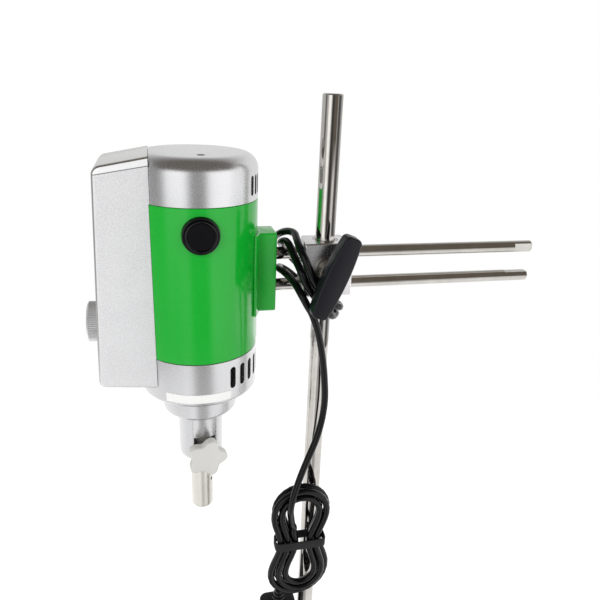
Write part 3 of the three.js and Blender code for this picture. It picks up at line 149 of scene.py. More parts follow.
def sand_faces(tree, place, surface, colour, gloss, metallic):
    """Keeps the grain to the control box's front and back below the seam line, draws that line, and leaves
    the rest smooth; above the line the faces take a painted highlight, near-white and less metallic than the
    walls. Returns the share of grain at a place."""
    depth = add(tree, "SeparateXYZ", {0: place}).outputs["Y"]
    outward = add(tree, "Math", {0: depth}, operation="ABSOLUTE").outputs[0]
    on_face = add(tree, "Math", {0: outward, 1: FACE_DEPTH * MM}, operation="GREATER_THAN").outputs[0]
    across = Vector((-SEAM_SLOPE, 0, 1))
    seam = row(0, 0, SEAM_Z).dot(across)
    height = add(tree, "VectorMath", {0: place, 1: across}, operation="DOT_PRODUCT").outputs["Value"]
    below = add(tree, "Math", {0: height, 1: seam}, operation="LESS_THAN")
    sand = add(tree, "Math", {0: on_face, 1: below.outputs[0]}, operation="MULTIPLY").outputs[0]
    near = add(tree, "Math", {0: height, 1: seam, 2: SEAM_HALF_WIDTH * MM}, operation="COMPARE")
    line = add(tree, "Math", {0: on_face, 1: near.outputs[0]}, operation="MULTIPLY").outputs[0]
    # The strip's colour and metallic are the painted highlight above the seam line; the wall's are its own
    # lacquer
    (wall, wall_metal), (strip, highlight_metal) = WALL_LACQUER, PAINTED_HIGHLIGHT_LACQUER
    smooth = add(tree, "Mix", {0: on_face, 6: paint(wall), 7: paint(strip)}, data_type="RGBA")
    sanded = add(tree, "Mix", {0: sand, 6: smooth.outputs[2], 7: colour}, data_type="RGBA")
    lined = add(tree, "Mix", {0: line, 6: sanded.outputs[2], 7: paint(SEAM_COLOUR)}, data_type="RGBA")
    bare = add(tree, "Mix", {0: on_face, 2: wall_metal, 3: highlight_metal}, data_type="FLOAT")
    metal = add(tree, "Mix", {0: sand, 2: bare.outputs[0], 3: metallic}, data_type="FLOAT")
    rough = add(tree, "Mix", {0: sand, 2: SMOOTH_ROUGHNESS, 3: gloss}, data_type="FLOAT")
    tree.links.new(lined.outputs[2], surface.inputs["Base Color"])
    tree.links.new(metal.outputs[0], surface.inputs["Metallic"])
    tree.links.new(rough.outputs[0], surface.inputs["Roughness"])
    return sand


def finish(
    name, light, dark, grain, rough, metallic=0.0, relief=0.0, stretch=(1, 1, 1), patchy=1.0, specular=0.5,
    sanded=False,
):
    """A surface whose tone wanders between two colours over patches, and whose grain shows in tone, gloss and
    relief. Grain and relief are in millimetres. Stretch draws the grain out along an axis, as turning does.
    Patchy weakens the patches. Sanded keeps the grain to the control box's front and back, and paints a
    highlight strip above their seam line."""
    material = bpy.data.materials.new(name)
    material.use_nodes = True
    tree = material.node_tree
    tree.nodes.clear()
    place = add(tree, "TexCoord").outputs["Object"]
    drawn = add(tree, "Mapping", {"Vector": place, "Scale": stretch}).outputs["Vector"]
    pattern = {"Vector": drawn, "Scale": 1 / (grain * MM), "Detail": 3, "Roughness": 0.6}
    fine = add(tree, "TexNoise", pattern).outputs["Fac"]
    wide = add(tree, "TexNoise", {"Vector": place, "Scale": 1 / (PATCH * MM), "Detail": 2}).outputs["Fac"]
    calm = add(tree, "MapRange", {"Value": wide, "To Min": 0.5 - patchy / 2, "To Max": 0.5 + patchy / 2})
    share = add(tree, "Math", {0: fine, 1: calm.outputs[0]}, operation="ADD")
    tone = add(tree, "MapRange", {"Value": share.outputs[0], **SUM_RANGE}).outputs[0]
    colour = add(tree, "Mix", {0: tone, 6: paint(dark), 7: paint(light)}, data_type="RGBA").outputs[2]
    wear = {"Value": fine, **NOISE_RANGE, "To Min": rough[0], "To Max": rough[1]}
    gloss = add(tree, "MapRange", wear).outputs[0]
    inputs = {"Base Color": colour, "Roughness": gloss, "Metallic": metallic, "Specular IOR Level": specular}
    surface = add(tree, "BsdfPrincipled", inputs)
    grained = sand_faces(tree, place, surface, colour, gloss, metallic) if sanded else 1.0
    if relief:
        bump = add(tree, "Bump", {"Height": fine, "Distance": relief * MM, "Strength": grained})
        tree.links.new(bump.outputs["Normal"], surface.inputs["Normal"])
    add(tree, "OutputMaterial", {"Surface": surface.outputs[0]})
    return material


# Die-cast aluminium under silver lacquer: half-millimetre metal flakes sparkle in a soft broad shine
silver_lacquer = finish(
    "silver_lacquer_on_cast_aluminium", "#D4D4D5", "#C2C2C4", 0.6, (0.22, 0.32), metallic=0.95, relief=0.012,
    patchy=0.3,
)
# Steel shell in smooth silver lacquer, with a fine even sand on its front and back that scatters the light,
# and a painted highlight strip along the top of both
sanded_silver_with_painted_highlight = finish(
    "silver_lacquer_with_sanded_walls_and_painted_highlight", "#F7F7F8", "#CACACC", 0.8, (0.4, 0.55), metallic=0.38, relief=0.05,
    patchy=0.15, sanded=True,
)
# Green gloss enamel, sprayed: a faint orange peel, and clear streaks of light along the round
green_enamel = finish(
    "green_gloss_enamel", "#0FAC2E", "#0CA62B", 2.2, (0.14, 0.2), relief=0.004, patchy=0.5, specular=0.4
)
# Chrome-plated steel bar, polished: a mirror with a warm cast and a slight unevenness that bends its stripes
chrome = finish("chrome_plated_steel_polished", "#E2DFDA", "#D2CEC8", 6, (0, 0), metallic=1.0, relief=0.008)
# Nickel-plated casting, satin: soft reflections with a fine grain from blasting
satin_nickel = finish(
    "nickel_plated_casting_satin", "#D8D6D6", "#BDBBBD", 0.5, (0.2, 0.32), metallic=1.0, relief=0.012
)
# Plain turned steel: fine rings from the tool, drawn round the bar
turned_steel = finish(
    "turned_steel", "#C3C1BC", "#ABA9A5", 0.6, (0.24, 0.38), metallic=1.0, relief=0.008,
    stretch=(0.25, 0.25, 3),
)
# Knurled aluminium, bright-dipped: pale, with a short soft glint on each ridge
bright_aluminium = finish(
    "bright_dipped_aluminium", "#EAEAEB", "#C4C4C6", 0.5, (0.2, 0.3), metallic=0.6, relief=0.008
)
# Oiled steel of the wing knob's screw: brownish, with a blurred shine
oiled_steel = finish("oiled_steel", "#8C867C", "#6E6960", 0.8, (0.3, 0.42), metallic=0.9, relief=0.01)
# Zinc casting under a pale satin lacquer: nearly white, with soft highlights along its lobes
satin_zinc = finish(
    "zinc_casting_satin_lacquer", "#DEDDD9", "#D0CFCA", 0.6, (0.45, 0.55), metallic=0.25, relief=0.01,
    patchy=0.4,
)
# Satin stainless tube, brushed along its length: reflections smear across the lines
brushed_steel = finish(
    "stainless_steel_brushed", "#DDDBD3", "#CDCAC2", 0.5, (0.26, 0.4), metallic=0.8, relief=0.006,
    stretch=(3, 3, 0.15),
)
# Glass-filled nylon, moulded with a spark-eroded grain: a satin black
satin_black = finish(
    "black_moulded_nylon_satin", "#1D1D22", "#16161B", 0.4, (0.3, 0.38), relief=0.008, specular=0.2
)
# Phenolic moulding, polished mould: a deep gloss black
gloss_black = finish("black_phenolic_gloss", "#08080C", "#060609", 3, (0.08, 0.12), specular=0.25)
# Soft PVC jacket: black with a wet-looking line of shine that wanders along the lead
black_pvc = finish(
    "black_pvc_cable_jacket", "#0A0A0C", "#060608", 1.6, (0.12, 0.2), relief=0.01, specular=0.22
)
# Woven nylon tape of the tie: coarse threads, no shine
black_tape = finish("black_woven_nylon_tape", "#202022", "#0F0F11", 0.7, (0.75, 0.9), relief=0.12)
# Moulded rubber foot: matt black
rubber = finish("moulded_black_rubber", "#1C1C1D", "#121213", 0.8, (0.65, 0.8), relief=0.03)
# Steel plate under hammer-finish paint: dimples of a few millimetres in a dark grey gloss
hammer_grey = finish(
    "dark_grey_hammer_paint_on_steel", "#4A4D51", "#34373A", 3.2, (0.3, 0.42), metallic=0.25, relief=0.16
)
# Bare label stock with a satin laminate: a clean white field
white_label = finish("white_laminated_label", "#F4F4F2", "#ECECEA", 1.5, (0.35, 0.45))
# Rolled brass: yellow, lightly scuffed
brass = finish("rolled_brass", "#C9A45A", "#AE8A45", 0.7, (0.22, 0.36), metallic=1.0, relief=0.006)
# The plug's blades, brass under a thin bright nickel plate: a warm silver
plated_brass = finish("nickel_plated_brass", "#D8D2C0", "#C2BBA6", 0.6, (0.18, 0.3), metallic=1.0)
# Enamelled copper wire, wound in layers: fine ridges along the winding
wound_copper = finish(
    "enamelled_copper_winding", "#B4652E", "#7E3F1B", 0.6, (0.25, 0.4), metallic=0.85, relief=0.12,
    stretch=(0.4, 0.4, 2),
)
# Commutator bars: bare copper, scored round by the brushes
bare_copper = finish(
    "commutator_copper", "#B97A4C", "#94572F", 0.6, (0.3, 0.5), metallic=1.0, relief=0.02,
    stretch=(0.3, 0.3, 4),
)
# Stacked silicon-steel sheets: fine lines across the stack, dull blue-grey varnish
lamination = finish(
    "silicon_steel_lamination_stack", "#7F8285", "#5B5E61", 0.5, (0.4, 0.6), metallic=0.8, relief=0.04,
    stretch=(0.1, 0.1, 3),
)
# Pressed carbon of the brushes: matt and slightly sooty
carbon = finish("pressed_carbon", "#2E2E30", "#1F1F20", 0.5, (0.7, 0.9), relief=0.03)
# Fibreglass board under green solder resist: a half-gloss green with the weave just felt
solder_resist = finish("green_solder_resist", "#1F6E3B", "#175A2F", 1.2, (0.3, 0.45), relief=0.02)
# Zinc-plated fastener steel: a cool grey metal, a little patchy
zinc_steel = finish("zinc_plated_steel", "#BDBFC0", "#9FA1A3", 0.8, (0.28, 0.42), metallic=1.0, relief=0.01)
# Paint in an engraved line: matt near black
dark_fill = finish("dark_paint_fill", "#202124", "#17181A", 0.6, (0.5, 0.65))


# Shape making, with bmesh

SHARP = 60  # degrees: edges that turn by more are rounded
CREASE = 32  # degrees: edges that turn by less are shaded smooth
MERGE = 1e-4  # millimetres within which points become one


def revolve(profile, steps=96, turn=360, closed=False):
    """Spins a profile of (radius, height) about the vertical axis. A closed profile makes a ring."""
    bm = bmesh.new()
    points = [bm.verts.new((radius, 0, height)) for radius, height in profile]
    ends = points[1:] + points[:1] if closed else points[1:]
    edges = [bm.edges.new(pair) for pair in zip(points, ends)]
    bmesh.ops.spin(
        bm, geom=points + edges, cent=(0, 0, 0), axis=(0, 0, 1), dvec=(0, 0, 0), angle=math.radians(turn),
        steps=steps, use_merge=turn == 360,
    )
    bmesh.ops.remove_doubles(bm, verts=bm.verts, dist=MERGE)
    if turn < 360:
        bmesh.ops.holes_fill(bm, edges=bm.edges)
    bmesh.ops.recalc_face_normals(bm, faces=bm.faces)
    return bm


def bar(radius, low, high, chamfer=0.0, steps=64):
    """A round bar that stands up, with its ends chamfered."""
    if not chamfer:
        return revolve([(0, low), (radius, low), (radius, high), (0, high)], steps)
    inner = radius - chamfer
    side = [(radius, low + chamfer), (radius, high - chamfer)]
    return revolve([(0, low), (inner, low), *side, (inner, high), (0, high)], steps)


def tube(inner, outer, low, high, steps=96, turn=360):
    """A round tube that stands up, or a part turn of its wall."""
    return revolve([(inner, low), (outer, low), (outer, high), (inner, high)], steps, turn, closed=True)


def slab(outline, low, high):
    """Stands a flat outline of (x, y) up from one height to another."""
    bm = bmesh.new()
    face = bm.faces.new([bm.verts.new((x, y, low)) for x, y in outline])
    raised = bmesh.ops.extrude_face_region(bm, geom=[face], use_keep_orig=True)
    tops = [v for v in raised["geom"] if isinstance(v, bmesh.types.BMVert)]
    bmesh.ops.translate(bm, verts=tops, vec=(0, 0, high - low))
    bmesh.ops.recalc_face_normals(bm, faces=bm.faces)
    return bm


def brick(x0, x1, y0, y1, z0, z1):
    return slab([(x0, y0), (x1, y0), (x1, y1), (x0, y1)], z0, z1)


def bevel(bm, edges, width, segments):
    bmesh.ops.bevel(
        bm, geom=edges, offset=width, offset_type="OFFSET", segments=segments, profile=0.5, affect="EDGES",
        clamp_overlap=True, material=-1,
    )
    return bm


def soften(bm, width, segments=3, where=None):
    """Rounds the sharp edges of a shape."""
    edges = [e for e in bm.edges if len(e.link_faces) == 2 and e.calc_face_angle(0) > math.radians(SHARP)]
    if where:
        edges = [e for e in edges if all(where(v.co) for v in e.verts)]
    return bevel(bm, edges, width, segments)


def move(bm, x=0, y=0, z=0):
    bmesh.ops.translate(bm, verts=bm.verts, vec=(x, y, z))
    return bm


def rotate(bm, axis, angle):
    bmesh.ops.rotate(bm, verts=bm.verts, cent=(0, 0, 0), matrix=Matrix.Rotation(math.radians(angle), 3, axis))
    return bm


def forward(bm):
    """Lays a shape that stands up along the front, so that its height runs towards the viewer."""
    return rotate(bm, "X", 90)


def backward(bm):
    return rotate(bm, "X", -90)


def rightward(bm):
    return rotate(bm, "Y", 90)


def together(*shapes):
    """Puts several shapes that don't touch into one, and frees them."""
    whole = bmesh.new()
    for shape in shapes:
        mesh = bpy.data.meshes.new("part")
        shape.to_mesh(mesh)
        shape.free()
        whole.from_mesh(mesh)
        bpy.data.meshes.remove(mesh)
    return whole


def worked(shape, tool, how):
    """Works a shape with a tool, as DIFFERENCE or UNION, and frees both."""
    objects = []
    for bm in (shape, tool):
        mesh = bpy.data.meshes.new("blank")
        bm.to_mesh(mesh)
        bm.free()
        objects.append(add_object("blank", mesh))
    step = objects[0].modifiers.new("tool", "BOOLEAN")
    step.operation = how
    step.solver = "EXACT"
    step.object = objects[1]
    result = bpy.data.meshes.new_from_object(objects[0].evaluated_get(bpy.context.evaluated_depsgraph_get()))
    bm = bmesh.new()
    bm.from_mesh(result)
    bpy.data.meshes.remove(result)
    for blank in objects:
        mesh = blank.data
        bpy.data.objects.remove(blank)
        bpy.data.meshes.remove(mesh)
    bmesh.ops.remove_doubles(bm, verts=bm.verts, dist=MERGE)
    return bm


def carve(shape, *tools):
    """Cuts tools out of a shape, one after another."""
    for tool in tools:
        shape = worked(shape, tool, "DIFFERENCE")
    return shape


def weld(shape, other):
    return worked(shape, other, "UNION")


def put(name, bm, material, body, nodes=()):
    """Makes a shape a finished piece: in the part's frame, smooth between creases, and riding on a body."""
    mesh = bpy.data.meshes.new(name)
    bm.to_mesh(mesh)
    bm.free()
    mesh.transform(TO_ROW)
    mesh.polygons.foreach_set("use_smooth", [True] * len(mesh.polygons))
    mesh.set_sharp_from_angle(angle=math.radians(CREASE))
    mesh.materials.append(material)
    piece = add_object(name, mesh)
    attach(piece, body)
    if nodes:
        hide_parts(*nodes)
    return piece


def arc(radius, first, last, steps):
    """Points round a centre, from one angle in degrees to another."""
    angles = [math.radians(first + (last - first) * i / steps) for i in range(steps + 1)]
    return [(radius * math.cos(a), radius * math.sin(a)) for a in angles]


def wheel(count, radius_at):
    """An outline round a centre, from a function that gives the radius for a point's number and angle."""
    angles = [2 * math.pi * i / count for i in range(count)]
    radii = [radius_at(i, a) for i, a in enumerate(angles)]
    return [(radius * math.cos(a), radius * math.sin(a)) for radius, a in zip(radii, angles)]


def round_corner(radius, height, size, steps=8):
    """Profile points of a quarter round from a wall up to a flat end."""
    return [(radius - size + x, height - size + y) for x, y in arc(size, 0, 90, steps)]


def upside_down(profile):
    return [(radius, -height) for radius, height in profile]


def rounded_rectangle(half_x, half_y, corner, steps=8):
    points = []
    for turn, side_x, side_y in ((0, 1, 1), (90, -1, 1), (180, -1, -1), (270, 1, -1)):
        centre_x, centre_y = side_x * (half_x - corner), side_y * (half_y - corner)
        points += [(centre_x + x, centre_y + y) for x, y in arc(corner, turn, turn + 90, steps)]
    return points


# Power cord: the same route as the part's, in millimetres

CORD_RADIUS = 2.8
BUTT = 0.3  # between two lengths of the lead
RELIEF_X = -53
RELIEF_Z = -20
RELIEF_LENGTH = 26

LEAD_ROUTE = [
    (RELIEF_X, BOX_HALF_DEPTH + RELIEF_LENGTH + BUTT, RELIEF_Z),
    (-53, 66, -20.4), (-50, 79, -23), (-39, 92, -30), (-20, 99, -40), (2, 97, -46), (22, 86, -42),
    (37, 69, -28), (47, 49, -8), (54.6, 34, 8.2), (56.8, 29, 11.4), (59, 24, 14.6),
]

WRAP_ROUTE = [
    (60.1, 21.5, 16.2), (62, 15, 21.8), (64.4, 4, 27.8), (67.8, -5, 31), (70.4, -13, 31.4),
    (70.4, -21, 29.6), (70.2, -29.5, 26.8), (71.4, -37, 22.5), (75, -40.4, 14), (79.2, -40.9, 4.4),
    (85, -40.4, -4.5), (91.5, -40, -11.5), (97.5, -38.4, -17.2), (102.6, -33.6, -20.6), (104.6, -24, -22.2),
    (104.6, -12, -25.2), (103, 0, -27.6), (99.5, 11, -26), (94, 17.5, -18.5), (86.5, 19, -8),
    (75.5, 19, 4), (68, 14.5, 14), (64.6, 6.5, 19), (64.4, -1, 22.2), (65.6, -8.5, 24.2),
    (66.6, -15, 23.2), (68, -21.5, 18.6), (69.2, -30, 14), (71.2, -36.6, 8.6), (75.2, -37.1, -0.4),
    (81.2, -37.2, -9.4), (88, -37.4, -17.4), (93.5, -36.4, -24), (97.9, -31.9, -28.4), (103.2, -23, -30),
    (103.6, -11, -32.4), (102, 1, -33.8), (98, 11, -32.4), (91, 17.5, -25), (77.5, 19, -11.5),
    (69.5, 14.5, -4.8), (64, 7.5, -0.8), (62.6, 0.5, 0), (64.4, -9, 0.3), (66.8, -20, -0.6),
    (69, -31, -3), (71.8, -38.6, -8.4), (75.8, -40.2, -15.8), (79.4, -40.6, -22), (83, -40.5, -31.2),
    (87, -39, -44.4), (90.9, -37, -62.5), (93.5, -36, -80.5), (94.9, -35.5, -98.9), (93.3, -36, -116.7),
    (88.9, -37.5, -134.1), (81.7, -40.5, -150.6), (74.7, -44, -167.1), (69.5, -46.6, -183.6),
    (68.3, -46.2, -194), (69.7, -43.4, -205), (72, -40.7, -215.5),
]

HANK_X = 79.5
HANK_FRONT_Y = -40.1
HANK_REAR_Y = -34
HANK_TOP_Z = -204
HANK_BOTTOM_Z = -266
HANK_INNER_RADIUS = 13
HANK_STEP = 6.4
HANK_LOOPS = 4
HANK_PULL = 7  # by which the tie draws a loop's sides in
HANK_START = -0.3
HANK_END = 3.8
HALF_BEND_SHARE = 0.125  # of a loop, from the middle of an end bend to where its straight side begins
POINTS_IN_A_LOOP = 48
PLUG_X = 64.9
PLUG_Y = -27.5
PLUG_TOP_Z = -298

TAIL_ROUTE = [(68.8, -32.6, -256), (67, -29, -265), (65.6, -27.6, -274), (PLUG_X, PLUG_Y, -285)]


def line_through(points, parts):
    """A smooth line through a route's points, with a number of parts from one point to the next."""
    places = [Vector(p) for p in points]
    places = [2 * places[0] - places[1], *places, 2 * places[-1] - places[-2]]
    line = []
    for a, b, c, d in zip(places, places[1:], places[2:], places[3:]):
        ab, bc, cd = (math.sqrt((q - p).length) for p, q in ((a, b), (b, c), (c, d)))
        leave = ((b - a) / ab - (c - a) / (ab + bc) + (c - b) / bc) * bc
        arrive = ((c - b) / bc - (d - b) / (bc + cd) + (d - c) / cd) * bc
        for i in range(parts):
            t = i / parts
            line.append(
                b * (2 * t**3 - 3 * t**2 + 1)
                + leave * (t**3 - 2 * t**2 + t)
                + c * (3 * t**2 - 2 * t**3)
                + arrive * (t**3 - t**2)
            )
    return [*line, places[-2]]


def hank_place(along):
    """The lead's place in the hank, for a distance along it counted in loops."""
    middle = HANK_LOOPS / 2
    wound = along if along < middle else HANK_LOOPS - along
    radius = HANK_INNER_RADIUS + HANK_STEP * wound
    climb = min(max((along - middle) * 2 + 0.5, 0), 1)
    climb = climb * climb * (3 - 2 * climb)
    y = HANK_FRONT_Y + (HANK_REAR_Y - HANK_FRONT_Y) * climb
    part = along % 1
    quarter_turn = math.pi / 2 / HALF_BEND_SHARE
    if part < HALF_BEND_SHARE or part >= 1 - HALF_BEND_SHARE:
        angle = (part if part < 0.5 else part - 1) * quarter_turn
        return Vector((HANK_X + radius * math.sin(angle), y, HANK_BOTTOM_Z - radius * math.cos(angle)))
    if 0.5 - HALF_BEND_SHARE <= part < 0.5 + HALF_BEND_SHARE:
        angle = (part - 0.5) * quarter_turn
        return Vector((HANK_X - radius * math.sin(angle), y, HANK_TOP_Z + radius * math.cos(angle)))
    risen = part - HALF_BEND_SHARE if part < 0.5 else 1 - HALF_BEND_SHARE - part
    share = risen / (0.5 - 2 * HALF_BEND_SHARE)
    reach = radius - HANK_PULL * math.sin(math.pi * share) ** 2
    side = 1 if part < 0.5 else -1
    return Vector((HANK_X + side * reach, y, HANK_BOTTOM_Z + (HANK_TOP_Z - HANK_BOTTOM_Z) * share))


def lay_cord(name, line, body, nodes):
    """A round lead along a line, as one open curve."""
    data = bpy.data.curves.new(name, "CURVE")
    data.dimensions = "3D"
    data.bevel_depth = CORD_RADIUS * MM
    data.bevel_resolution = 4
    data.use_fill_caps = True
    spline = data.splines.new("POLY")
    spline.points.add(len(line) - 1)
    for point, place in zip(spline.points, line):
        point.co = (*row(*place), 1)
    spline.use_smooth = True
    data.materials.append(black_pvc)
    cord = add_object(name, data)
    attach(cord, body)
    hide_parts(*nodes)
    return cord


RELIEF_RADIUS = 5.4  # behind the box's wall, and where the taper of its ribs starts
RELIEF_GROOVE = 4.4  # radius where the box's wall holds it
RELIEF_FLANGE = 7
RELIEF_TAPER = 1.4
RIB_PITCH = 4.2
RIB_COUNT = 5


def make_relief():
    """The ribbed sleeve that guides the lead out of the box."""
    seat = -BOX_WALL - FIT
    profile = [(0, seat - 2.4), (RELIEF_RADIUS, seat - 2.4), (RELIEF_RADIUS, seat), (RELIEF_GROOVE, seat)]
    profile += [(RELIEF_GROOVE, FIT), (RELIEF_FLANGE - 0.4, FIT), (RELIEF_FLANGE, 0.7), (RELIEF_FLANGE, 2.3)]
    profile.append((RELIEF_FLANGE - 0.4, 2.7))
    for i in range(RIB_COUNT):
        start = RIB_PITCH + i * RIB_PITCH
        radius = RELIEF_RADIUS - RELIEF_TAPER * (start / RELIEF_LENGTH)
        profile += [(radius - 0.9, start - 0.9), (radius - 0.9, start)]
        profile += [(radius, start + 0.4), (radius - 0.1, start + 2.8)]
    profile += [(3.9, RELIEF_LENGTH - 0.6), (3.5, RELIEF_LENGTH), (0, RELIEF_LENGTH)]
    shape = move(backward(revolve(profile, 48)), RELIEF_X, BOX_HALF_DEPTH, RELIEF_Z)
    return put("ribbed_strain_relief", shape, rubber, "head", ["cord_relief"])


TIE_HALF_X = 22
TIE_HALF_Y = 7.35
TIE_CORNER = 4.3
TIE_THICKNESS = 1.2
TIE_BOTTOM = -239
TIE_TOP = -231


def make_tie():
    """The tape that holds the hank together at its waist."""
    outer = slab(rounded_rectangle(TIE_HALF_X, TIE_HALF_Y, TIE_CORNER), TIE_BOTTOM, TIE_TOP)
    inside = [size - TIE_THICKNESS for size in (TIE_HALF_X, TIE_HALF_Y, TIE_CORNER)]
    inner = slab(rounded_rectangle(*inside), TIE_BOTTOM - OVERRUN, TIE_TOP + OVERRUN)
    shape = soften(carve(outer, inner), 0.25, 2)
    move(shape, HANK_X, (HANK_FRONT_Y + HANK_REAR_Y) / 2)
    return put("hank_tie_tape", shape, black_tape, "clamp", ["cord_tie"])


PLUG_HALF_X = 16
PLUG_HALF_Y = 14
PLUG_CORNER = 7
PLUG_EDGE = 2
PLUG_FACE_Z = -338
PLUG_SHOULDER_Z = -314
NECK_RINGS = 4
NECK_RING_PITCH = 3
NECK_RING_STEP = 1.15  # by which each ring is narrower than the one below it
BLADES = ("left", "right", "earth")


def make_plug():
    """Moulded plug with a grooved neck; its three blades are the part's own."""
    body = slab(rounded_rectangle(PLUG_HALF_X, PLUG_HALF_Y, PLUG_CORNER, 10), PLUG_FACE_Z, PLUG_SHOULDER_Z)
    soften(body, PLUG_EDGE, 4)
    neck = [(0, PLUG_SHOULDER_Z - 1), (9, PLUG_SHOULDER_Z - 1), (8.9, PLUG_SHOULDER_Z + 0.4)]
    for i in range(NECK_RINGS):
        z = PLUG_SHOULDER_Z + 2 + i * NECK_RING_PITCH
        radius = 8.4 - i * NECK_RING_STEP
        neck += [(radius, z), (radius - 0.3, z + 1.6), (radius - 1.1, z + 1.8), (radius - 1.1, z + 2.6)]
    neck += [(3.7, PLUG_TOP_Z - 1.4), (3.4, PLUG_TOP_Z), (0, PLUG_TOP_Z)]
    shape = move(weld(body, revolve(neck, 48)), PLUG_X, PLUG_Y)
    return put("moulded_plug", shape, black_pvc, "clamp", ["plug_body"])


LEAD_PARTS = 8  # from one point of a route to the next
WRAP_PARTS = 6


def make_cords():
    relief = make_relief()
    rear = line_through(LEAD_ROUTE, LEAD_PARTS)
    lead = lay_cord("lead_behind_motor", rear, "head", ["cord_lead"])
    start = Vector(LEAD_ROUTE[-1])
    start += (start - Vector(LEAD_ROUTE[-2])).normalized() * BUTT
    top = hank_place(HANK_START)
    into_hank = [top + Vector((0, 0, 2 * CORD_RADIUS)), top + Vector((0, 0, BUTT))]
    wraps = line_through([start, *WRAP_ROUTE, *into_hank], WRAP_PARTS)
    count = round((HANK_END - HANK_START) * POINTS_IN_A_LOOP)
    hank = [hank_place(HANK_START + (HANK_END - HANK_START) * i / count) for i in range(count + 1)]
    foot = hank[-1]
    out_of_hank = [foot - Vector((0, 0, BUTT)), foot - Vector((0, 0, 2 * CORD_RADIUS))]
    tail = [*out_of_hank, *TAIL_ROUTE, (PLUG_X, PLUG_Y, PLUG_TOP_Z + BUTT)]
    whole = wraps + hank + line_through(tail, WRAP_PARTS)
    cord = lay_cord("lead_round_clamp_and_hank", whole, "clamp", ["power_cord", "cord_hank", "cord_tail"])
    plug = make_plug()
    tie = make_tie()


make_cords()


# Stand

PLATE_BOTTOM = 3 - ROD_HEIGHT
PLATE_TOP = 19 - ROD_HEIGHT
PLATE_CENTRE_X = 12
PLATE_HALF_X = 145
PLATE_HALF_Y = 95
PLATE_CORNER = 14
PLATE_EDGE = 2
SOCKET_DEPTH = 8.3
BOLT_BORE = 4.3
BOLT_HEAD_BORE = 6.8
BOLT_HEAD_DEPTH = 6.1
BOLT_HOLE_TOP = PLATE_TOP + 10
POST_TOP = 129.9
POST_CHAMFER = 0.8
FOOT_RADIUS = 11
FOOT_INSET = 24
FOOT_RECESS = 2
# A foot's outline from its dished underside round its bulging rim, as radius and height
FOOT_PROFILE = [
    (0, 0.8), (6.5, 0.8), (7.5, 0), (10.2, 0), (10.8, 0.5), (FOOT_RADIUS, 1.4), (10.8, 4.3), (10.4, 4.7),
    (0, 4.7),
]


def make_stand():
    outline = rounded_rectangle(PLATE_HALF_X, PLATE_HALF_Y, PLATE_CORNER, 12)
    plate = move(soften(slab(outline, PLATE_BOTTOM, PLATE_TOP), PLATE_EDGE, 4), PLATE_CENTRE_X)
    socket = PLATE_TOP - SOCKET_DEPTH
    pocket = PLATE_BOTTOM + BOLT_HEAD_DEPTH
    holes = [
        move(bar(POST_RADIUS + FIT, socket, PLATE_TOP + OVERRUN), POST_X, POST_Y),
        move(bar(BOLT_HEAD_BORE, PLATE_BOTTOM - OVERRUN, pocket), POST_X, POST_Y),
        move(bar(BOLT_BORE, pocket - 0.1, socket + 0.1), POST_X, POST_Y),
    ]
    for side_x, way_x in (("left", -1), ("right", 1)):
        for side_y, way_y in (("front", -1), ("rear", 1)):
            x = PLATE_CENTRE_X + way_x * (PLATE_HALF_X - FOOT_INSET)
            y = way_y * (PLATE_HALF_Y - FOOT_INSET)
            recess = bar(FOOT_RADIUS + FIT, PLATE_BOTTOM - OVERRUN, PLATE_BOTTOM + FOOT_RECESS)
            holes.append(move(recess, x, y))
            foot = move(revolve(FOOT_PROFILE, 48), x, y, -ROD_HEIGHT)
            node = f"foot_{side_x}_{side_y}"
            put(f"rubber_{node}", foot, rubber, "stand", [node])
    plate = carve(plate, together(*holes))
    put("painted_base_plate", plate, hammer_grey, "stand", ["base_plate"])
    low = socket + FIT
    thread = bar(BOLT_BORE, low - OVERRUN, BOLT_HOLE_TOP, 0, 24)
    upright = carve(bar(POST_RADIUS, low, POST_TOP, POST_CHAMFER, 96), thread)
    put("chromed_post", move(upright, POST_X, POST_Y), chrome, "stand", ["post"])


# Clamp, wing knob and arm rods

JAW_TOP = 28.5
JAW_BOTTOM = -11.3
JAW_OUTLINE = [(-18.4, -33.6), (18.4, -33.6), (15.267, -8), (-15.267, -8)]
HOLDER_OUTLINE = [(-15.5, -9.9), (15.5, -9.9), (13.1, 9.7), (-13.1, 9.7)]
HOLDER_HALF_HEIGHT = 21
CLAMP_EDGE = 1.1
CLAMP_REACH = 22  # to each side, past the jaw's widest place
SLIDE_BORE = 5.1
LINER_RADIUS = 9
LINER_BORE = 7.5
LINER_SPLIT = 2
WING_Z = 8.6


def make_clamp():
    jaw = slab(JAW_OUTLINE, JAW_BOTTOM, JAW_TOP)
    holder = slab(HOLDER_OUTLINE, -HOLDER_HALF_HEIGHT, HOLDER_HALF_HEIGHT)
    block = weld(soften(jaw, CLAMP_EDGE), soften(holder, CLAMP_EDGE))
    move(block, POST_X)
    low, high = JAW_BOTTOM - OVERRUN, JAW_TOP + OVERRUN
    ways = [move(bar(LINER_RADIUS + FIT, low, high, 0, 96), POST_X, POST_Y)]
    for z in (-ROD_Z, ROD_Z):
        ways.append(move(rightward(bar(SLIDE_BORE, -CLAMP_REACH, CLAMP_REACH)), POST_X, 0, z))
        ways.append(move(backward(bar(SET_SCREW_BORE, SET_SCREW_START, 12, 0, 32)), POST_X, 0, z))
    ways.append(move(forward(bar(HUB_SPIGOT + FIT, 20, 36, 0, 48)), POST_X, 0, WING_Z))
    put("plated_clamp_block", carve(block, *ways), satin_nickel, "clamp", ["clamp_block"])

    half = LINER_SPLIT / 2
    split = brick(-half, half, LINER_BORE - OVERRUN, LINER_RADIUS + OVERRUN, low, high)
    liner = carve(tube(LINER_BORE, LINER_RADIUS, JAW_BOTTOM, JAW_TOP), split)
    put("post_bush", move(liner, POST_X, POST_Y), turned_steel, "liner", ["post_liner"])


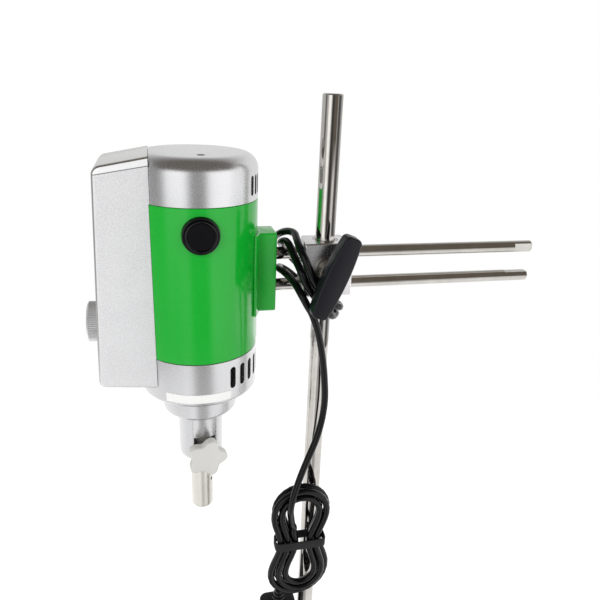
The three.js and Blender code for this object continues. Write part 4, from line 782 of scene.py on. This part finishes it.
WING_TILT = -22
WING_HALF_LENGTH = 31.5
WING_MIDDLE = 10.458
WING_END = 6.4
WING_CORNER = 4
WING_EDGE = 1.6
WING_BACK = 44
WING_FRONT = 56
WING_SCREW_END = 51.2
HUB_SPIGOT = 4
# The hub's outline from the screw's end forward into the wing, as radius and distance to the front
HUB_PROFILE = [
    (0, 32), (HUB_SPIGOT, 32), (HUB_SPIGOT, 33.9), (8.2, 33.9), (9, 34.7), (9, 42.9), (8.2, 43.7),
    (HUB_SPIGOT, 43.7), (HUB_SPIGOT, WING_SCREW_END), (0, WING_SCREW_END),
]


def make_wing():
    run = WING_HALF_LENGTH - WING_CORNER
    outline = []
    for first, side in ((180, -1), (90, 1)):
        centre = side * (WING_END - WING_CORNER)
        outline += [(centre + x, run + y) for x, y in arc(WING_CORNER, first, first - 90, 10)]
    for i in range(1, 24):
        t = i / 24
        x = WING_END * (1 - t) ** 2 + 2 * WING_MIDDLE * t * (1 - t) + WING_END * t**2
        outline.append((x, run * ((1 - t) ** 2 - t**2)))
    outline += [(-x, -y) for x, y in outline]
    grip = forward(rotate(soften(slab(outline, WING_BACK, WING_FRONT), WING_EDGE, 4), "Z", WING_TILT))
    socket = bar(HUB_SPIGOT + FIT, WING_BACK - OVERRUN, WING_SCREW_END + FIT, 0, 48)
    grip = carve(grip, forward(socket))
    put("wing_knob_grip", move(grip, POST_X, 0, WING_Z), satin_black, "wing", ["wing_knob"])
    hub = move(forward(revolve(HUB_PROFILE, 64)), POST_X, 0, WING_Z)
    put("wing_knob_hub", hub, oiled_steel, "wing", ["wing_screw"])


ROD_START = 47
ROD_END = 279
ROD_CHAMFER = 0.8
FLAT_REACH = 3.55  # from a rod's axis to its milled flat
UPPER_FLAT_START = 262.5
LOWER_FLAT_START = 258
MILLED_INSET = 0.2
MILLED_HALF_HEIGHT = 3
BLOCK_END_X = 58
BLOCK_HALF_HEIGHT = 30.65
BLOCK_HALF_DEPTH = 12
BLOCK_CORNER = 1.6
BLOCK_EDGE = 1
BLOCK_CENTRE_Z = 0.65
SADDLE_RADIUS = 46.55
SADDLE_TURN = 56
SADDLE_BOTTOM = -30.4
SADDLE_TOP = 31.7
SADDLE_EDGE = 0.5
BLOCK_SCREW_X = 52.5


def make_arm():
    end = ROD_END + OVERRUN
    out = ROD_RADIUS + OVERRUN
    for name, z, flat in (
        ("upper_rod", ROD_Z, (UPPER_FLAT_START, end, -out, -FLAT_REACH, -out, out)),
        ("lower_rod", -ROD_Z, (LOWER_FLAT_START, end, -out, out, FLAT_REACH, out)),
    ):
        shape = carve(rightward(bar(ROD_RADIUS, ROD_START, ROD_END, ROD_CHAMFER, 96)), brick(*flat))
        put(f"chromed_{name}", move(shape, z=z), chrome, "head", [name])
    # The cutter's marks are a thin sheet on the upper rod's flat, which faces the front
    start, end = UPPER_FLAT_START + MILLED_INSET, ROD_END - ROD_CHAMFER - 0.1
    low, high = ROD_Z - MILLED_HALF_HEIGHT, ROD_Z + MILLED_HALF_HEIGHT
    milled = brick(start, end, -FLAT_REACH - 0.05, -FLAT_REACH - 0.01, low, high)
    put("upper_rod_milled_flat", milled, turned_steel, "head")

    outline = rounded_rectangle(BLOCK_HALF_HEIGHT, BLOCK_HALF_DEPTH, BLOCK_CORNER, 4)
    block = rightward(slab(outline, 0, BLOCK_END_X))
    soften(block, BLOCK_EDGE, where=lambda place: place.x > BLOCK_END_X - 1)
    move(block, z=BLOCK_CENTRE_Z)
    saddle = tube(BODY_RADIUS - OVERRUN, SADDLE_RADIUS, SADDLE_BOTTOM, SADDLE_TOP, 48, SADDLE_TURN)
    saddle = soften(rotate(saddle, "Z", -SADDLE_TURN / 2), SADDLE_EDGE, 2)
    cuts = [bar(BODY_RADIUS + FIT, SADDLE_BOTTOM - OVERRUN, SADDLE_TOP + OVERRUN, 0, 128)]
    back = BLOCK_HALF_DEPTH + OVERRUN
    for z in (-ROD_Z, ROD_Z):
        cuts.append(move(rightward(bar(ROD_RADIUS + FIT, ROD_START - FIT, BLOCK_END_X + OVERRUN)), z=z))
    for z in (-ROD_Z, ROD_Z):
        cuts.append(move(backward(bar(SET_SCREW_BORE, SET_SCREW_START, back, 0, 32)), BLOCK_SCREW_X, 0, z))
    block = carve(weld(block, saddle), *cuts)
    put("green_arm_block", block, green_enamel, "head", ["arm_block"])


# Motor housing

RIM = 0.25  # chamfer of the shells' outer rims
WALL_INSIDE = 36  # between this and the next radius run the tools that cut the housing's wall
WALL_OUTSIDE = 48
CAP_BORE = 39.15
TOP_CAP_BOTTOM = 57.35
TOP_CAP_TOP = 88.9
TOP_CAP_ROUND = 11
TOP_CAP_WALL = 3
LIP_THICKNESS = 2
LIP_BOTTOM = 55.2
# The screw hole in the top cap, as radius and height, and its place
SCREW_HOLE_PROFILE = [(0, 80), (2.1, 80), (2.1, 87.3), (3.4, 88.6), (3.8, 89.5), (0, 89.5)]
SCREW_HOLE_PLACE = (2.3, -24)
SLEEVE_BORE = 41.45
SLEEVE_BOTTOM = -55.85
SLEEVE_TOP = 57.05
LOWER_CAP_TOP = -56.15
LOWER_CAP_BOTTOM = -91.5
LOWER_CAP_ROUND = 4
LOWER_CAP_FLOOR = 5
BRUSH_CAP_RADIUS = 12.7
BRUSH_SEAT = 42.4  # from the motor's axis
BRUSH_HOLDER_BORE = 8.3
WIRE_BORE = 5
NECK_SPIGOT = 20
SHAFT_BORE = 5
BOLT_CIRCLE = 37.7
BOLT_POCKET = 3.9
BOLT_POCKET_TOP = -87.4
# Labels: bottom and top, and the degrees that they start at and run on for, from the right towards the rear
SIDE_LABEL_Z = (-52, -34)
SIDE_LABEL_START = -8
SIDE_LABEL_TURN = 36
LOW_LABEL_Z = (-87.3, -80.5)
LOW_LABEL_START = -127
LOW_LABEL_TURN = 64


def slot_row(count, pitch, width, bottom, height):
    """Upright slots with round ends, spread evenly about the housing's right side."""
    half = width / 2
    outline = [(x, height - half + y) for x, y in arc(half, 0, 180, 12)]
    outline += [(x, half + y) for x, y in arc(half, 180, 360, 12)]
    slots = []
    for i in range(count):
        slot = forward(slab(outline, WALL_INSIDE, WALL_OUTSIDE))
        rotate(slot, "Z", 90 + (i - (count - 1) / 2) * pitch)
        slots.append(move(slot, z=bottom))
    return together(*slots)


def make_top_cap():
    outer = [(0, TOP_CAP_BOTTOM), (BODY_RADIUS - RIM, TOP_CAP_BOTTOM), (BODY_RADIUS, TOP_CAP_BOTTOM + RIM)]
    outer += [*round_corner(BODY_RADIUS, TOP_CAP_TOP, TOP_CAP_ROUND, 12), (0, TOP_CAP_TOP)]
    roof = TOP_CAP_TOP - TOP_CAP_WALL
    under = LIP_BOTTOM - OVERRUN
    inner = [(0, under), (CAP_BORE, under)]
    inner += [*round_corner(CAP_BORE, roof, TOP_CAP_ROUND - TOP_CAP_WALL), (0, roof)]
    flat_x = BOX_END_X + FIT
    hollow = revolve(inner, 96)
    everything = hollow.verts[:] + hollow.edges[:] + hollow.faces[:]
    wall_x = flat_x + TOP_CAP_WALL
    cut = {"plane_co": (wall_x, 0, 0), "plane_no": (-1, 0, 0), "clear_outer": True}
    bmesh.ops.bisect_plane(hollow, geom=everything, **cut)
    bmesh.ops.holes_fill(hollow, edges=hollow.edges)
    bmesh.ops.recalc_face_normals(hollow, faces=hollow.faces)
    slots = slot_row(count=9, pitch=8.4, width=4, bottom=61.6, height=13.8)
    screw_hole = move(revolve(SCREW_HOLE_PROFILE, 48), *SCREW_HOLE_PLACE)
    box_side = (-WALL_OUTSIDE, flat_x, -WALL_OUTSIDE, WALL_OUTSIDE, under, TOP_CAP_TOP + OVERRUN)
    cap = carve(revolve(outer, 144), hollow, slots, screw_hole, brick(*box_side))
    lip = tube(CAP_BORE, CAP_BORE + LIP_THICKNESS, LIP_BOTTOM, TOP_CAP_BOTTOM + 0.05)
    lip = carve(lip, brick(*box_side))
    put("silver_top_cap", together(cap, lip), silver_lacquer, "head", ["top_cap"])


def make_sleeve():
    rim = BODY_RADIUS - RIM
    wall = [(SLEEVE_BORE, SLEEVE_BOTTOM), (rim, SLEEVE_BOTTOM), (BODY_RADIUS, SLEEVE_BOTTOM + RIM)]
    wall += [(BODY_RADIUS, SLEEVE_TOP - RIM), (rim, SLEEVE_TOP), (SLEEVE_BORE, SLEEVE_TOP)]
    seats = []
    for lay in (forward, backward):
        seats.append(move(lay(bar(BRUSH_CAP_RADIUS + FIT, BRUSH_SEAT, WALL_OUTSIDE, 0, 96)), z=BRUSH_Z))
        seats.append(move(lay(bar(BRUSH_HOLDER_BORE, WALL_INSIDE, BRUSH_SEAT + OVERRUN)), z=BRUSH_Z))
    wire_hole = move(rightward(bar(WIRE_BORE, -WALL_OUTSIDE, -WALL_INSIDE, 0, 32)), z=BRUSH_Z)
    sleeve = carve(revolve(wall, 144, closed=True), *seats, wire_hole)
    put("green_motor_sleeve", sleeve, green_enamel, "head", ["motor_sleeve"])

    strip = tube(BODY_RADIUS + 0.01, BODY_RADIUS + 0.11, *SIDE_LABEL_Z, 24, SIDE_LABEL_TURN)
    put("bare_side_label", rotate(strip, "Z", SIDE_LABEL_START), white_label, "head")


def make_lower_cap():
    low_corner = upside_down(round_corner(BODY_RADIUS, -LOWER_CAP_BOTTOM, LOWER_CAP_ROUND, 8))[::-1]
    outer = [(0, LOWER_CAP_BOTTOM), *low_corner, (BODY_RADIUS, LOWER_CAP_TOP - RIM)]
    outer += [(BODY_RADIUS - RIM, LOWER_CAP_TOP), (0, LOWER_CAP_TOP)]
    under = LOWER_CAP_BOTTOM - OVERRUN
    floor = LOWER_CAP_BOTTOM + LOWER_CAP_FLOOR
    cuts = [
        bar(CAP_BORE, floor, LOWER_CAP_TOP + OVERRUN, 0, 96),
        slot_row(count=11, pitch=12.1, width=4.9, bottom=-79.5, height=17.5),
        bar(NECK_SPIGOT + FIT, under, NECK_TOP + FIT, 0, 96),
        bar(SHAFT_BORE, under, floor + OVERRUN, 0, 48),
    ]
    for turn in (45, 225):
        x, y = BOLT_CIRCLE * math.cos(math.radians(turn)), BOLT_CIRCLE * math.sin(math.radians(turn))
        cuts.append(move(bar(BOLT_POCKET, under, BOLT_POCKET_TOP, 0, 48), x, y))
    cap = carve(revolve(outer, 144), *cuts)
    put("silver_lower_cap", cap, silver_lacquer, "head", ["lower_cap"])

    strip = tube(BODY_RADIUS + 0.05, BODY_RADIUS + 0.17, *LOW_LABEL_Z, 32, LOW_LABEL_TURN)
    put("bare_voltage_label", rotate(strip, "Z", LOW_LABEL_START), white_label, "head")


# Neck, chuck and star knob

NECK_TURN = 6
NECK_TOP = -89.5  # the end of its spigot, in the lower cap
NECK_SHOULDER_Z = LOWER_CAP_BOTTOM - FIT
NECK_FLANGE = 29
NECK_STEP_Z = -113
NECK_RADIUS = 17.5
NECK_BOTTOM = -158.5
NECK_BORE = 12.5
NECK_BORE_BOTTOM = -141
NECK_FLAT_Y = -15
NECK_FLAT_TOP = -140
POLISHED_TOP = -113.6
POLISHED_DEPTH = 0.3
POLISHED_START = -122
POLISHED_TURN = 64
WINDOW_HALF_WIDTH = 8.5
WINDOW_BOTTOM = -143.5
WINDOW_TOP = -135.5
CHUCK_RADIUS = 8.9
CHUCK_BORE = 6.2
CHUCK_TOP = -141.5
CHUCK_BOTTOM = -211.5
STAR_Z = -148
STAR_STUD_RADIUS = 3
PIN_HOLE_RADIUS = 1.5
PIN_HOLE_Z = -185
PIN_HOLE_TURN = -31


def make_neck():
    under = NECK_BOTTOM - OVERRUN
    out = NECK_RADIUS + OVERRUN
    profile = [(0, NECK_TOP), (NECK_SPIGOT, NECK_TOP), (NECK_SPIGOT, NECK_SHOULDER_Z)]
    profile.append((NECK_FLANGE, NECK_SHOULDER_Z))
    profile += [*upside_down(round_corner(NECK_FLANGE, -NECK_STEP_Z, 4, 8)), (NECK_RADIUS + 0.5, NECK_STEP_Z)]
    profile.append((NECK_RADIUS, NECK_STEP_Z - 0.5))
    profile += [*upside_down(round_corner(NECK_RADIUS, -NECK_BOTTOM, 5, 10)), (0, NECK_BOTTOM)]
    inner = NECK_RADIUS - POLISHED_DEPTH
    polished = tube(inner, out, NECK_BORE_BOTTOM, POLISHED_TOP, 24, POLISHED_TURN)
    neck = carve(
        revolve(profile, 128),
        bar(NECK_BORE, NECK_BORE_BOTTOM, NECK_TOP + OVERRUN, 0, 96),
        bar(CHUCK_RADIUS + FIT, under, NECK_BORE_BOTTOM + OVERRUN, 0, 96),
        brick(-out, out, -out, NECK_FLAT_Y, under, NECK_FLAT_TOP),
        rotate(polished, "Z", POLISHED_START),
        brick(-WINDOW_HALF_WIDTH, WINDOW_HALF_WIDTH, -out, 0, WINDOW_BOTTOM, WINDOW_TOP),
        move(forward(bar(STAR_STUD_RADIUS + FIT, CHUCK_BORE, out, 0, 48)), z=STAR_Z),
    )
    put("silver_neck", rotate(neck, "Z", NECK_TURN), silver_lacquer, "head", ["neck_barrel"])

    mouth = upside_down(round_corner(CHUCK_RADIUS, -CHUCK_BOTTOM, 1.6, 6))[::-1]
    wall = [(CHUCK_BORE, CHUCK_BOTTOM), *mouth, (CHUCK_RADIUS, CHUCK_TOP - 0.6)]
    wall += [(CHUCK_RADIUS - 0.6, CHUCK_TOP), (CHUCK_BORE, CHUCK_TOP)]
    inside, outside = CHUCK_BORE - OVERRUN, CHUCK_RADIUS + OVERRUN
    stud_hole = move(forward(bar(STAR_STUD_RADIUS + 0.35, inside, outside, 0, 48)), z=STAR_Z)
    pin_hole = move(rightward(bar(PIN_HOLE_RADIUS, inside, outside, 0, 32)), z=PIN_HOLE_Z)
    holes = rotate(stud_hole, "Z", NECK_TURN), rotate(pin_hole, "Z", PIN_HOLE_TURN)
    chuck = carve(revolve(wall, 96, closed=True), *holes)
    put("steel_chuck_tube", chuck, brushed_steel, "head", ["chuck_tube"])


STAR_LOBES = 5
STAR_REACH = 16.1  # to the tip of a lobe
STAR_WAIST = 11.7
STAR_BACK = 21.4
STAR_FRONT = 29.4
STAR_TURN = 72  # of its first lobe, in degrees
STAR_EDGE = 1.2
STUD_TIP = 7.4
STUD_END = 26
BOSS_BACK = 15.6
# The boss behind the star, as radius and distance to the front
BOSS_PROFILE = [(0, BOSS_BACK), (5.6, BOSS_BACK), (6, BOSS_BACK + 0.4), (6, 23.4), (0, 23.4)]


def make_star_knob():
    middle, swing = (STAR_REACH + STAR_WAIST) / 2, (STAR_REACH - STAR_WAIST) / 2
    first = math.radians(STAR_TURN)
    outline = wheel(120, lambda i, angle: middle + swing * math.cos(STAR_LOBES * (angle - first)))
    star = weld(soften(slab(outline, STAR_BACK, STAR_FRONT), STAR_EDGE, 4), revolve(BOSS_PROFILE, 48))
    star = carve(star, bar(STAR_STUD_RADIUS + FIT, BOSS_BACK - OVERRUN, STUD_END + FIT, 0, 32))
    star = move(forward(star), z=STAR_Z)
    put("star_knob_grip", rotate(star, "Z", NECK_TURN), satin_zinc, "star", ["star_knob"])
    stud = move(forward(bar(STAR_STUD_RADIUS, STUD_TIP, STUD_END, 0.4, 32)), z=STAR_Z)
    put("star_knob_stud", rotate(stud, "Z", NECK_TURN), turned_steel, "star", ["star_stud"])


# A brush cap's outline: its stub in the sleeve, its rim, a groove and the raised middle
BRUSH_CAP_PROFILE = [
    (0, 37), (6, 37), (6, 42.7), (BRUSH_CAP_RADIUS, 42.7), (BRUSH_CAP_RADIUS, 46), (12.5, 46.5), (12, 46.7),
    (11.3, 46.7), (11.1, 47), (10.9, 48.2), (10.6, 48.5), (10.2, 48.6), (9.9, 48.4), (9.7, 47.7), (9.4, 47.6),
    (9.2, 47.9), (8.9, 48.1), (0, 48.1),
]


def make_brush_caps():
    for name, lay in (("front", forward), ("rear", backward)):
        cap = move(lay(revolve(BRUSH_CAP_PROFILE, 96)), z=BRUSH_Z)
        put(f"brush_screw_cap_{name}", cap, gloss_black, "head", [f"brush_cap_{name}"])


# Control box and speed knob

BOX_RIGHT_X = -10  # where the blank ends before it is cut to the housing
BOX_RIGHT_TOP = 92.65
BOX_RIGHT_BOTTOM = -82.1
BOX_TOP_LEFT = (-67.2, 81.5)
BOX_BOTTOM_LEFT = (-73.9, -76)
BOX_CORNER = 5
BOX_RIM = 2.6
BOX_INNER_RIM = 0.8
BOX_WRAP_TOP = 57.5  # up to which its end is cut to the housing's round
BOX_TILT = math.degrees(math.atan2(*(top - low for top, low in zip(BOX_TOP_LEFT, BOX_BOTTOM_LEFT))))
DIAL_Z = -36
DIAL_BORE = 5.1


def box_blank(inset, edge):
    """The box's outline, thick as the box and rounded along its rim. Its right end runs into the housing."""
    (top_x, top_z), (bottom_x, bottom_z) = BOX_TOP_LEFT, BOX_BOTTOM_LEFT
    corners = [(BOX_RIGHT_X, BOX_RIGHT_TOP - inset), (top_x + inset, top_z - inset)]
    corners += [(bottom_x + inset, bottom_z + inset), (BOX_RIGHT_X, BOX_RIGHT_BOTTOM + inset)]
    half = BOX_HALF_DEPTH - inset
    blank = slab(corners, -half, half)
    ends = [(e, [v.co for v in e.verts]) for e in blank.edges]
    left = [e for e, (a, b) in ends if abs(a.z - b.z) > 1 and a.x < BOX_END_X]
    return forward(soften(bevel(blank, left, BOX_CORNER, 6), edge, 5))


def make_control_box():
    under = BOX_RIGHT_BOTTOM - OVERRUN
    out = BOX_HALF_DEPTH + OVERRUN
    through = BOX_WALL + OVERRUN
    box = carve(
        box_blank(0, BOX_RIM),
        box_blank(BOX_WALL, BOX_INNER_RIM),
        bar(BODY_RADIUS + FIT, under, BOX_WRAP_TOP, 0, 144),
        brick(BOX_END_X, BOX_RIGHT_X + OVERRUN, -out, out, under, BOX_RIGHT_TOP + OVERRUN),
        move(backward(bar(RELIEF_GROOVE + FIT, BOX_HALF_DEPTH - through, out, 0, 48)), RELIEF_X, 0, RELIEF_Z),
        on_left_face(bar(DIAL_BORE, -through, OVERRUN, 0, 48)),
    )
    put("painted_control_box", box, sanded_silver_with_painted_highlight, "head", ["control_box"])


def on_left_face(bm):
    """Turns a shape that stands up to stand out of the box's left face, at the speed knob."""
    left, bottom = BOX_BOTTOM_LEFT
    slant = (DIAL_Z - bottom) * math.tan(math.radians(BOX_TILT))
    return move(rotate(bm, "Y", BOX_TILT - 90), left + slant, 0, DIAL_Z)


KNURLS = 60
KNURL_RADIUS = 14.9
KNURL_DEPTHS = (0, 0.12, 0.5, 0.12)
KNOB_BACK = 0.3
KNOB_FRONT = 8.6
# Cuts both ends of the knurled bar down, as radius and height
END_TURNING = [
    (20, -1), (20, 10), (13.4, 10), (13.4, KNOB_FRONT), (15.2, 7.1), (15.2, 1.5), (14, KNOB_BACK), (14, -1),
]
DISH_PROFILE = [(0, 8.1), (11, 8.1), (11.6, KNOB_FRONT), (11.6, 10), (0, 10)]
INDEX_HALF_WIDTH = 0.5
INDEX_START = 5
INDEX_END = 11.2
INDEX_FLOOR = 7.8
DIAL_NUT_BORE = 5.15
DIAL_NUT_DEPTH = 4.2
DIAL_SHAFT_RADIUS = 3
DIAL_SHAFT_ENDS = (-2.6, 5)


def make_speed_knob():
    parts = len(KNURL_DEPTHS)
    outline = wheel(KNURLS * parts, lambda i, angle: KNURL_RADIUS - KNURL_DEPTHS[i % parts])
    grip = carve(
        slab(outline, KNOB_BACK, KNOB_FRONT),
        revolve(END_TURNING, 96, closed=True),
        bar(DIAL_NUT_BORE, -1, DIAL_NUT_DEPTH, 0, 48),
        revolve(DISH_PROFILE, 96),
        brick(-INDEX_HALF_WIDTH, INDEX_HALF_WIDTH, INDEX_START, INDEX_END, INDEX_FLOOR, 9),
    )
    knob = on_left_face(together(grip, bar(DIAL_SHAFT_RADIUS, *DIAL_SHAFT_ENDS, 0, 32)))
    put("knurled_speed_knob", knob, bright_aluminium, "dial", ["speed_knob"])
    gap = 0.05
    half = INDEX_HALF_WIDTH - gap
    paint_fill = brick(-half, half, INDEX_START + gap, INDEX_END - gap, INDEX_FLOOR - 0.1, INDEX_FLOOR + 0.2)
    line = on_left_face(paint_fill)
    put("speed_knob_index", line, dark_fill, "dial")


make_stand()
make_clamp()
make_wing()
make_arm()
make_top_cap()
make_sleeve()
make_lower_cap()
make_neck()
make_star_knob()
make_brush_caps()
make_control_box()
make_speed_knob()

SIDES = ("front", "rear")
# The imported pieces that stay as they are, each in its own finish
CAD_FINISHES = [
    (zinc_steel, ["post_bolt", "potentiometer"]),
    (zinc_steel, [f"{piece}_screw_{rod}" for piece in ("rod", "arm") for rod in ("upper", "lower")]),
    (zinc_steel, [f"{piece}_{side}" for piece in ("through_bolt", "brush_spring") for side in SIDES]),
    (brass, ["wing_pad", *[f"brush_holder_{side}" for side in SIDES]]),
    (turned_steel, ["motor_shaft", "upper_bearing", "lower_bearing"]),
    (satin_zinc, ["drive_coupling"]),
    (lamination, ["armature", "stator_core"]),
    (wound_copper, ["field_coil_left", "field_coil_right"]),
    (bare_copper, ["commutator"]),
    (satin_black, ["fan"]),
    (carbon, [f"carbon_brush_{side}" for side in SIDES]),
    (solder_resist, ["circuit_board"]),
    (plated_brass, [f"plug_blade_{side}" for side in BLADES]),
]
for look, nodes in CAD_FINISHES:
    for node in nodes:
        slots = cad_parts[node].data.materials
        slots.clear()
        slots.append(look)


# Floor, backdrop and light

# Brightness of the studio round the object, by degrees from the camera's side. On the table two bright strips
# lie beside the camera's shade; above it stand a soft box on each side, and the backdrop at the far side.
TABLE_ROUND = [
    (-180, 1.3), (-100, 1.3), (-60, 1.15), (-24, 1.15), (-17, 1.3), (-5, 1.3), (5, 0.62), (30, 0.58),
    (42, 1.2), (78, 1.25), (90, 1.2), (180, 1.3),
]
LOW_ROUND = [
    (-180, 0.75), (-100, 0.7), (-60, 0.6), (-24, 0.65), (-17, 0.95), (-5, 0.95), (3, 0.25), (30, 0.22),
    (40, 1.6), (78, 1.4), (95, 2.0), (160, 2.0), (175, 0.9), (180, 0.75),
]
HIGH_ROUND = [
    (-180, 0.95), (-130, 0.75), (-105, 0.4), (-52, 0.36), (-40, 1.5), (-8, 1.65), (2, 0.37), (27, 0.37),
    (34, 1.5), (70, 1.6), (82, 1.3), (130, 1.1), (180, 0.95),
]

# A mirror sees the room sharply: narrow strips between dark stands, and the brown of the camera's hood
MIRROR_ROUND = [
    (-180, 0.6), (-90, 0.55), (-80, 0.16), (-68, 0.16), (-60, 0.5), (-46, 0.6), (-36, 1.25), (-18, 1.25),
    (-9, 0.6), (1, 0.06), (26, 0.06), (36, 0.35), (48, 0.8), (60, 0.75), (74, 0.1), (100, 0.1), (116, 0.45),
    (150, 0.6), (180, 0.6),
]
HOOD_ROUND = [(-180, 0), (18, 0), (27, 1), (58, 1), (68, 0), (180, 0)]
MIRRORED_TABLE = 0.74
WARM_DIM = (0.14, 0.12, 0.1, 1)
WHITE = (1, 1, 1, 1)
FILL_LIGHT = (0.72, 0.72, 0.72, 1)

TABLE_RADIUS = 0.95
TABLE_GLOW = 0.3
TABLE_GAP = 0.0005  # under the feet, so that no two faces lie in one plane
# Between which sines of the angle above the horizon one zone of the studio turns into the next
EYE_LEVEL = {"From Min": -0.4, "From Max": -0.2}
HOOD_EDGE = {"From Min": -0.17, "From Max": -0.1}
CEILING_START = {"To Min": 0.28, "To Max": 0.42}  # in front of the object and behind it
CEILING_END = {"To Min": 0.5, "To Max": 1.05}


def brightness_round(tree, way, ring):
    """The ring's brightness in a direction, as a colour."""
    axes = add(tree, "SeparateXYZ", {0: way})
    ahead = add(tree, "Math", {0: axes.outputs["Y"], 1: -1.0}, operation="MULTIPLY")
    angle = add(tree, "Math", {0: axes.outputs["X"], 1: ahead.outputs[0]}, operation="ARCTAN2").outputs[0]
    turn = math.radians(CAMERA_YAW)
    level = add(tree, "MapRange", {"Value": angle, "From Min": -math.pi - turn, "From Max": math.pi - turn})
    ramp = add(tree, "ValToRGB", {"Fac": level.outputs[0]})
    steps = ramp.color_ramp.elements
    while len(steps) < len(ring):
        steps.new(0.5)
    for step, (degrees, shine) in zip(steps, ring):
        step.position = degrees / 360 + 0.5
        step.color = (shine, shine, shine, 1)
    return ramp.outputs["Color"]


def make_floor():
    """A pale round table top. It glows faintly to the camera, so that it reads as white, and mirrors see its
    ring."""
    bm = bmesh.new()
    bmesh.ops.create_circle(bm, cap_ends=True, segments=96, radius=TABLE_RADIUS)
    mesh = bpy.data.meshes.new("table_top")
    bm.to_mesh(mesh)
    bm.free()
    material = bpy.data.materials.new("white_table_laminate")
    material.use_nodes = True
    tree = material.node_tree
    tree.nodes.clear()
    place = add(tree, "TexCoord").outputs["Object"]
    path = add(tree, "LightPath").outputs
    mottle = add(tree, "TexNoise", {"Vector": place, "Scale": 40, "Detail": 2})
    gloss = add(tree, "MapRange", {"Value": mottle.outputs["Fac"], "To Min": 0.55, "To Max": 0.65}).outputs[0]
    top = add(tree, "BsdfPrincipled", {"Base Color": paint("#F4F4F4"), "Roughness": gloss}).outputs[0]
    glow = add(tree, "Emission", {"Color": WHITE, "Strength": TABLE_GLOW})
    glowing = add(tree, "AddShader", {0: top, 1: glow.outputs[0]})
    from_motor = add(tree, "VectorMath", {0: place, 1: row(0, 0, -ROD_HEIGHT)}, operation="SUBTRACT")
    dimming = {"Value": path["Is Singular Ray"], "To Min": 1.0, "To Max": MIRRORED_TABLE}
    strength = add(tree, "MapRange", dimming).outputs[0]
    ring = brightness_round(tree, from_motor.outputs[0], TABLE_ROUND)
    lit = add(tree, "Emission", {"Color": ring, "Strength": strength})
    seen = add(tree, "MixShader", {0: path["Is Camera Ray"], 1: top, 2: glowing.outputs[0]})
    mixed = add(tree, "MixShader", {0: path["Is Glossy Ray"], 1: seen.outputs[0], 2: lit.outputs[0]})
    add(tree, "OutputMaterial", {"Surface": mixed.outputs[0]})
    mesh.materials.append(material)
    floor = add_object("table_top", mesh)
    floor.location.z = -TABLE_GAP


def make_studio():
    world = bpy.data.worlds.new("studio")
    bpy.context.scene.world = world
    world.use_nodes = True
    tree = world.node_tree
    tree.nodes.clear()
    way = add(tree, "TexCoord").outputs["Generated"]
    axes = add(tree, "SeparateXYZ", {0: way}).outputs
    path = add(tree, "LightPath").outputs
    low, high, sharp, hood = (
        brightness_round(tree, way, ring) for ring in (LOW_ROUND, HIGH_ROUND, MIRROR_ROUND, HOOD_ROUND)
    )
    eye_level = add(tree, "MapRange", {"Value": axes["Z"], **EYE_LEVEL})
    soft = add(tree, "Mix", {0: eye_level.outputs[0], 6: low, 7: high}, data_type="RGBA").outputs[2]
    over = add(tree, "MapRange", {"Value": axes["Z"], **HOOD_EDGE})
    hooded = add(tree, "Math", {0: over.outputs[0], 1: hood}, operation="MULTIPLY")
    dimmed = add(tree, "Mix", {0: hooded.outputs[0], 6: sharp, 7: WARM_DIM}, data_type="RGBA").outputs[2]
    sides = add(tree, "Mix", {0: path["Is Singular Ray"], 6: soft, 7: dimmed}, data_type="RGBA").outputs[2]
    # The dim warm ceiling comes down lower in front of the object than behind it
    starts, ends = (
        add(tree, "MapRange", {"Value": axes["Y"], "From Min": -0.3, "From Max": 0.3, **edge}).outputs[0]
        for edge in (CEILING_START, CEILING_END)
    )
    rise = {"Value": axes["Z"], "From Min": starts, "From Max": ends}
    ceiling = add(tree, "MapRange", rise, interpolation_type="SMOOTHSTEP").outputs[0]
    dome = add(tree, "Mix", {0: ceiling, 6: sides, 7: WARM_DIM}, data_type="RGBA").outputs[2]
    mirrored = add(tree, "Mix", {0: path["Is Glossy Ray"], 6: FILL_LIGHT, 7: dome}, data_type="RGBA")
    shown = add(tree, "Mix", {0: path["Is Camera Ray"], 6: mirrored.outputs[2], 7: WHITE}, data_type="RGBA")
    sky = add(tree, "Background", {"Color": shown.outputs[2], "Strength": 1.0})
    add(tree, "OutputWorld", {"Surface": sky.outputs[0]})


LAMP_AIM = (0, 0, 0.4)
LAMP_SIZE = 1.2


def make_lamp(name, place, power):
    data = bpy.data.lights.new(name, "AREA")
    data.shape = "SQUARE"
    data.size = LAMP_SIZE
    data.energy = power
    lamp = add_object(name, data)
    lamp.location = place
    lamp.rotation_euler = (Vector(LAMP_AIM) - Vector(place)).to_track_quat("-Z", "Y").to_euler()
    lamp.visible_glossy = False
    lamp.visible_camera = False


make_floor()
make_studio()
make_lamp("soft_box_left", (-1.3, -1.1, 1.3), 14)
make_lamp("soft_box_right", (1.5, -0.9, 1.1), 9)
bpy.context.scene.view_settings.view_transform = "Standard"
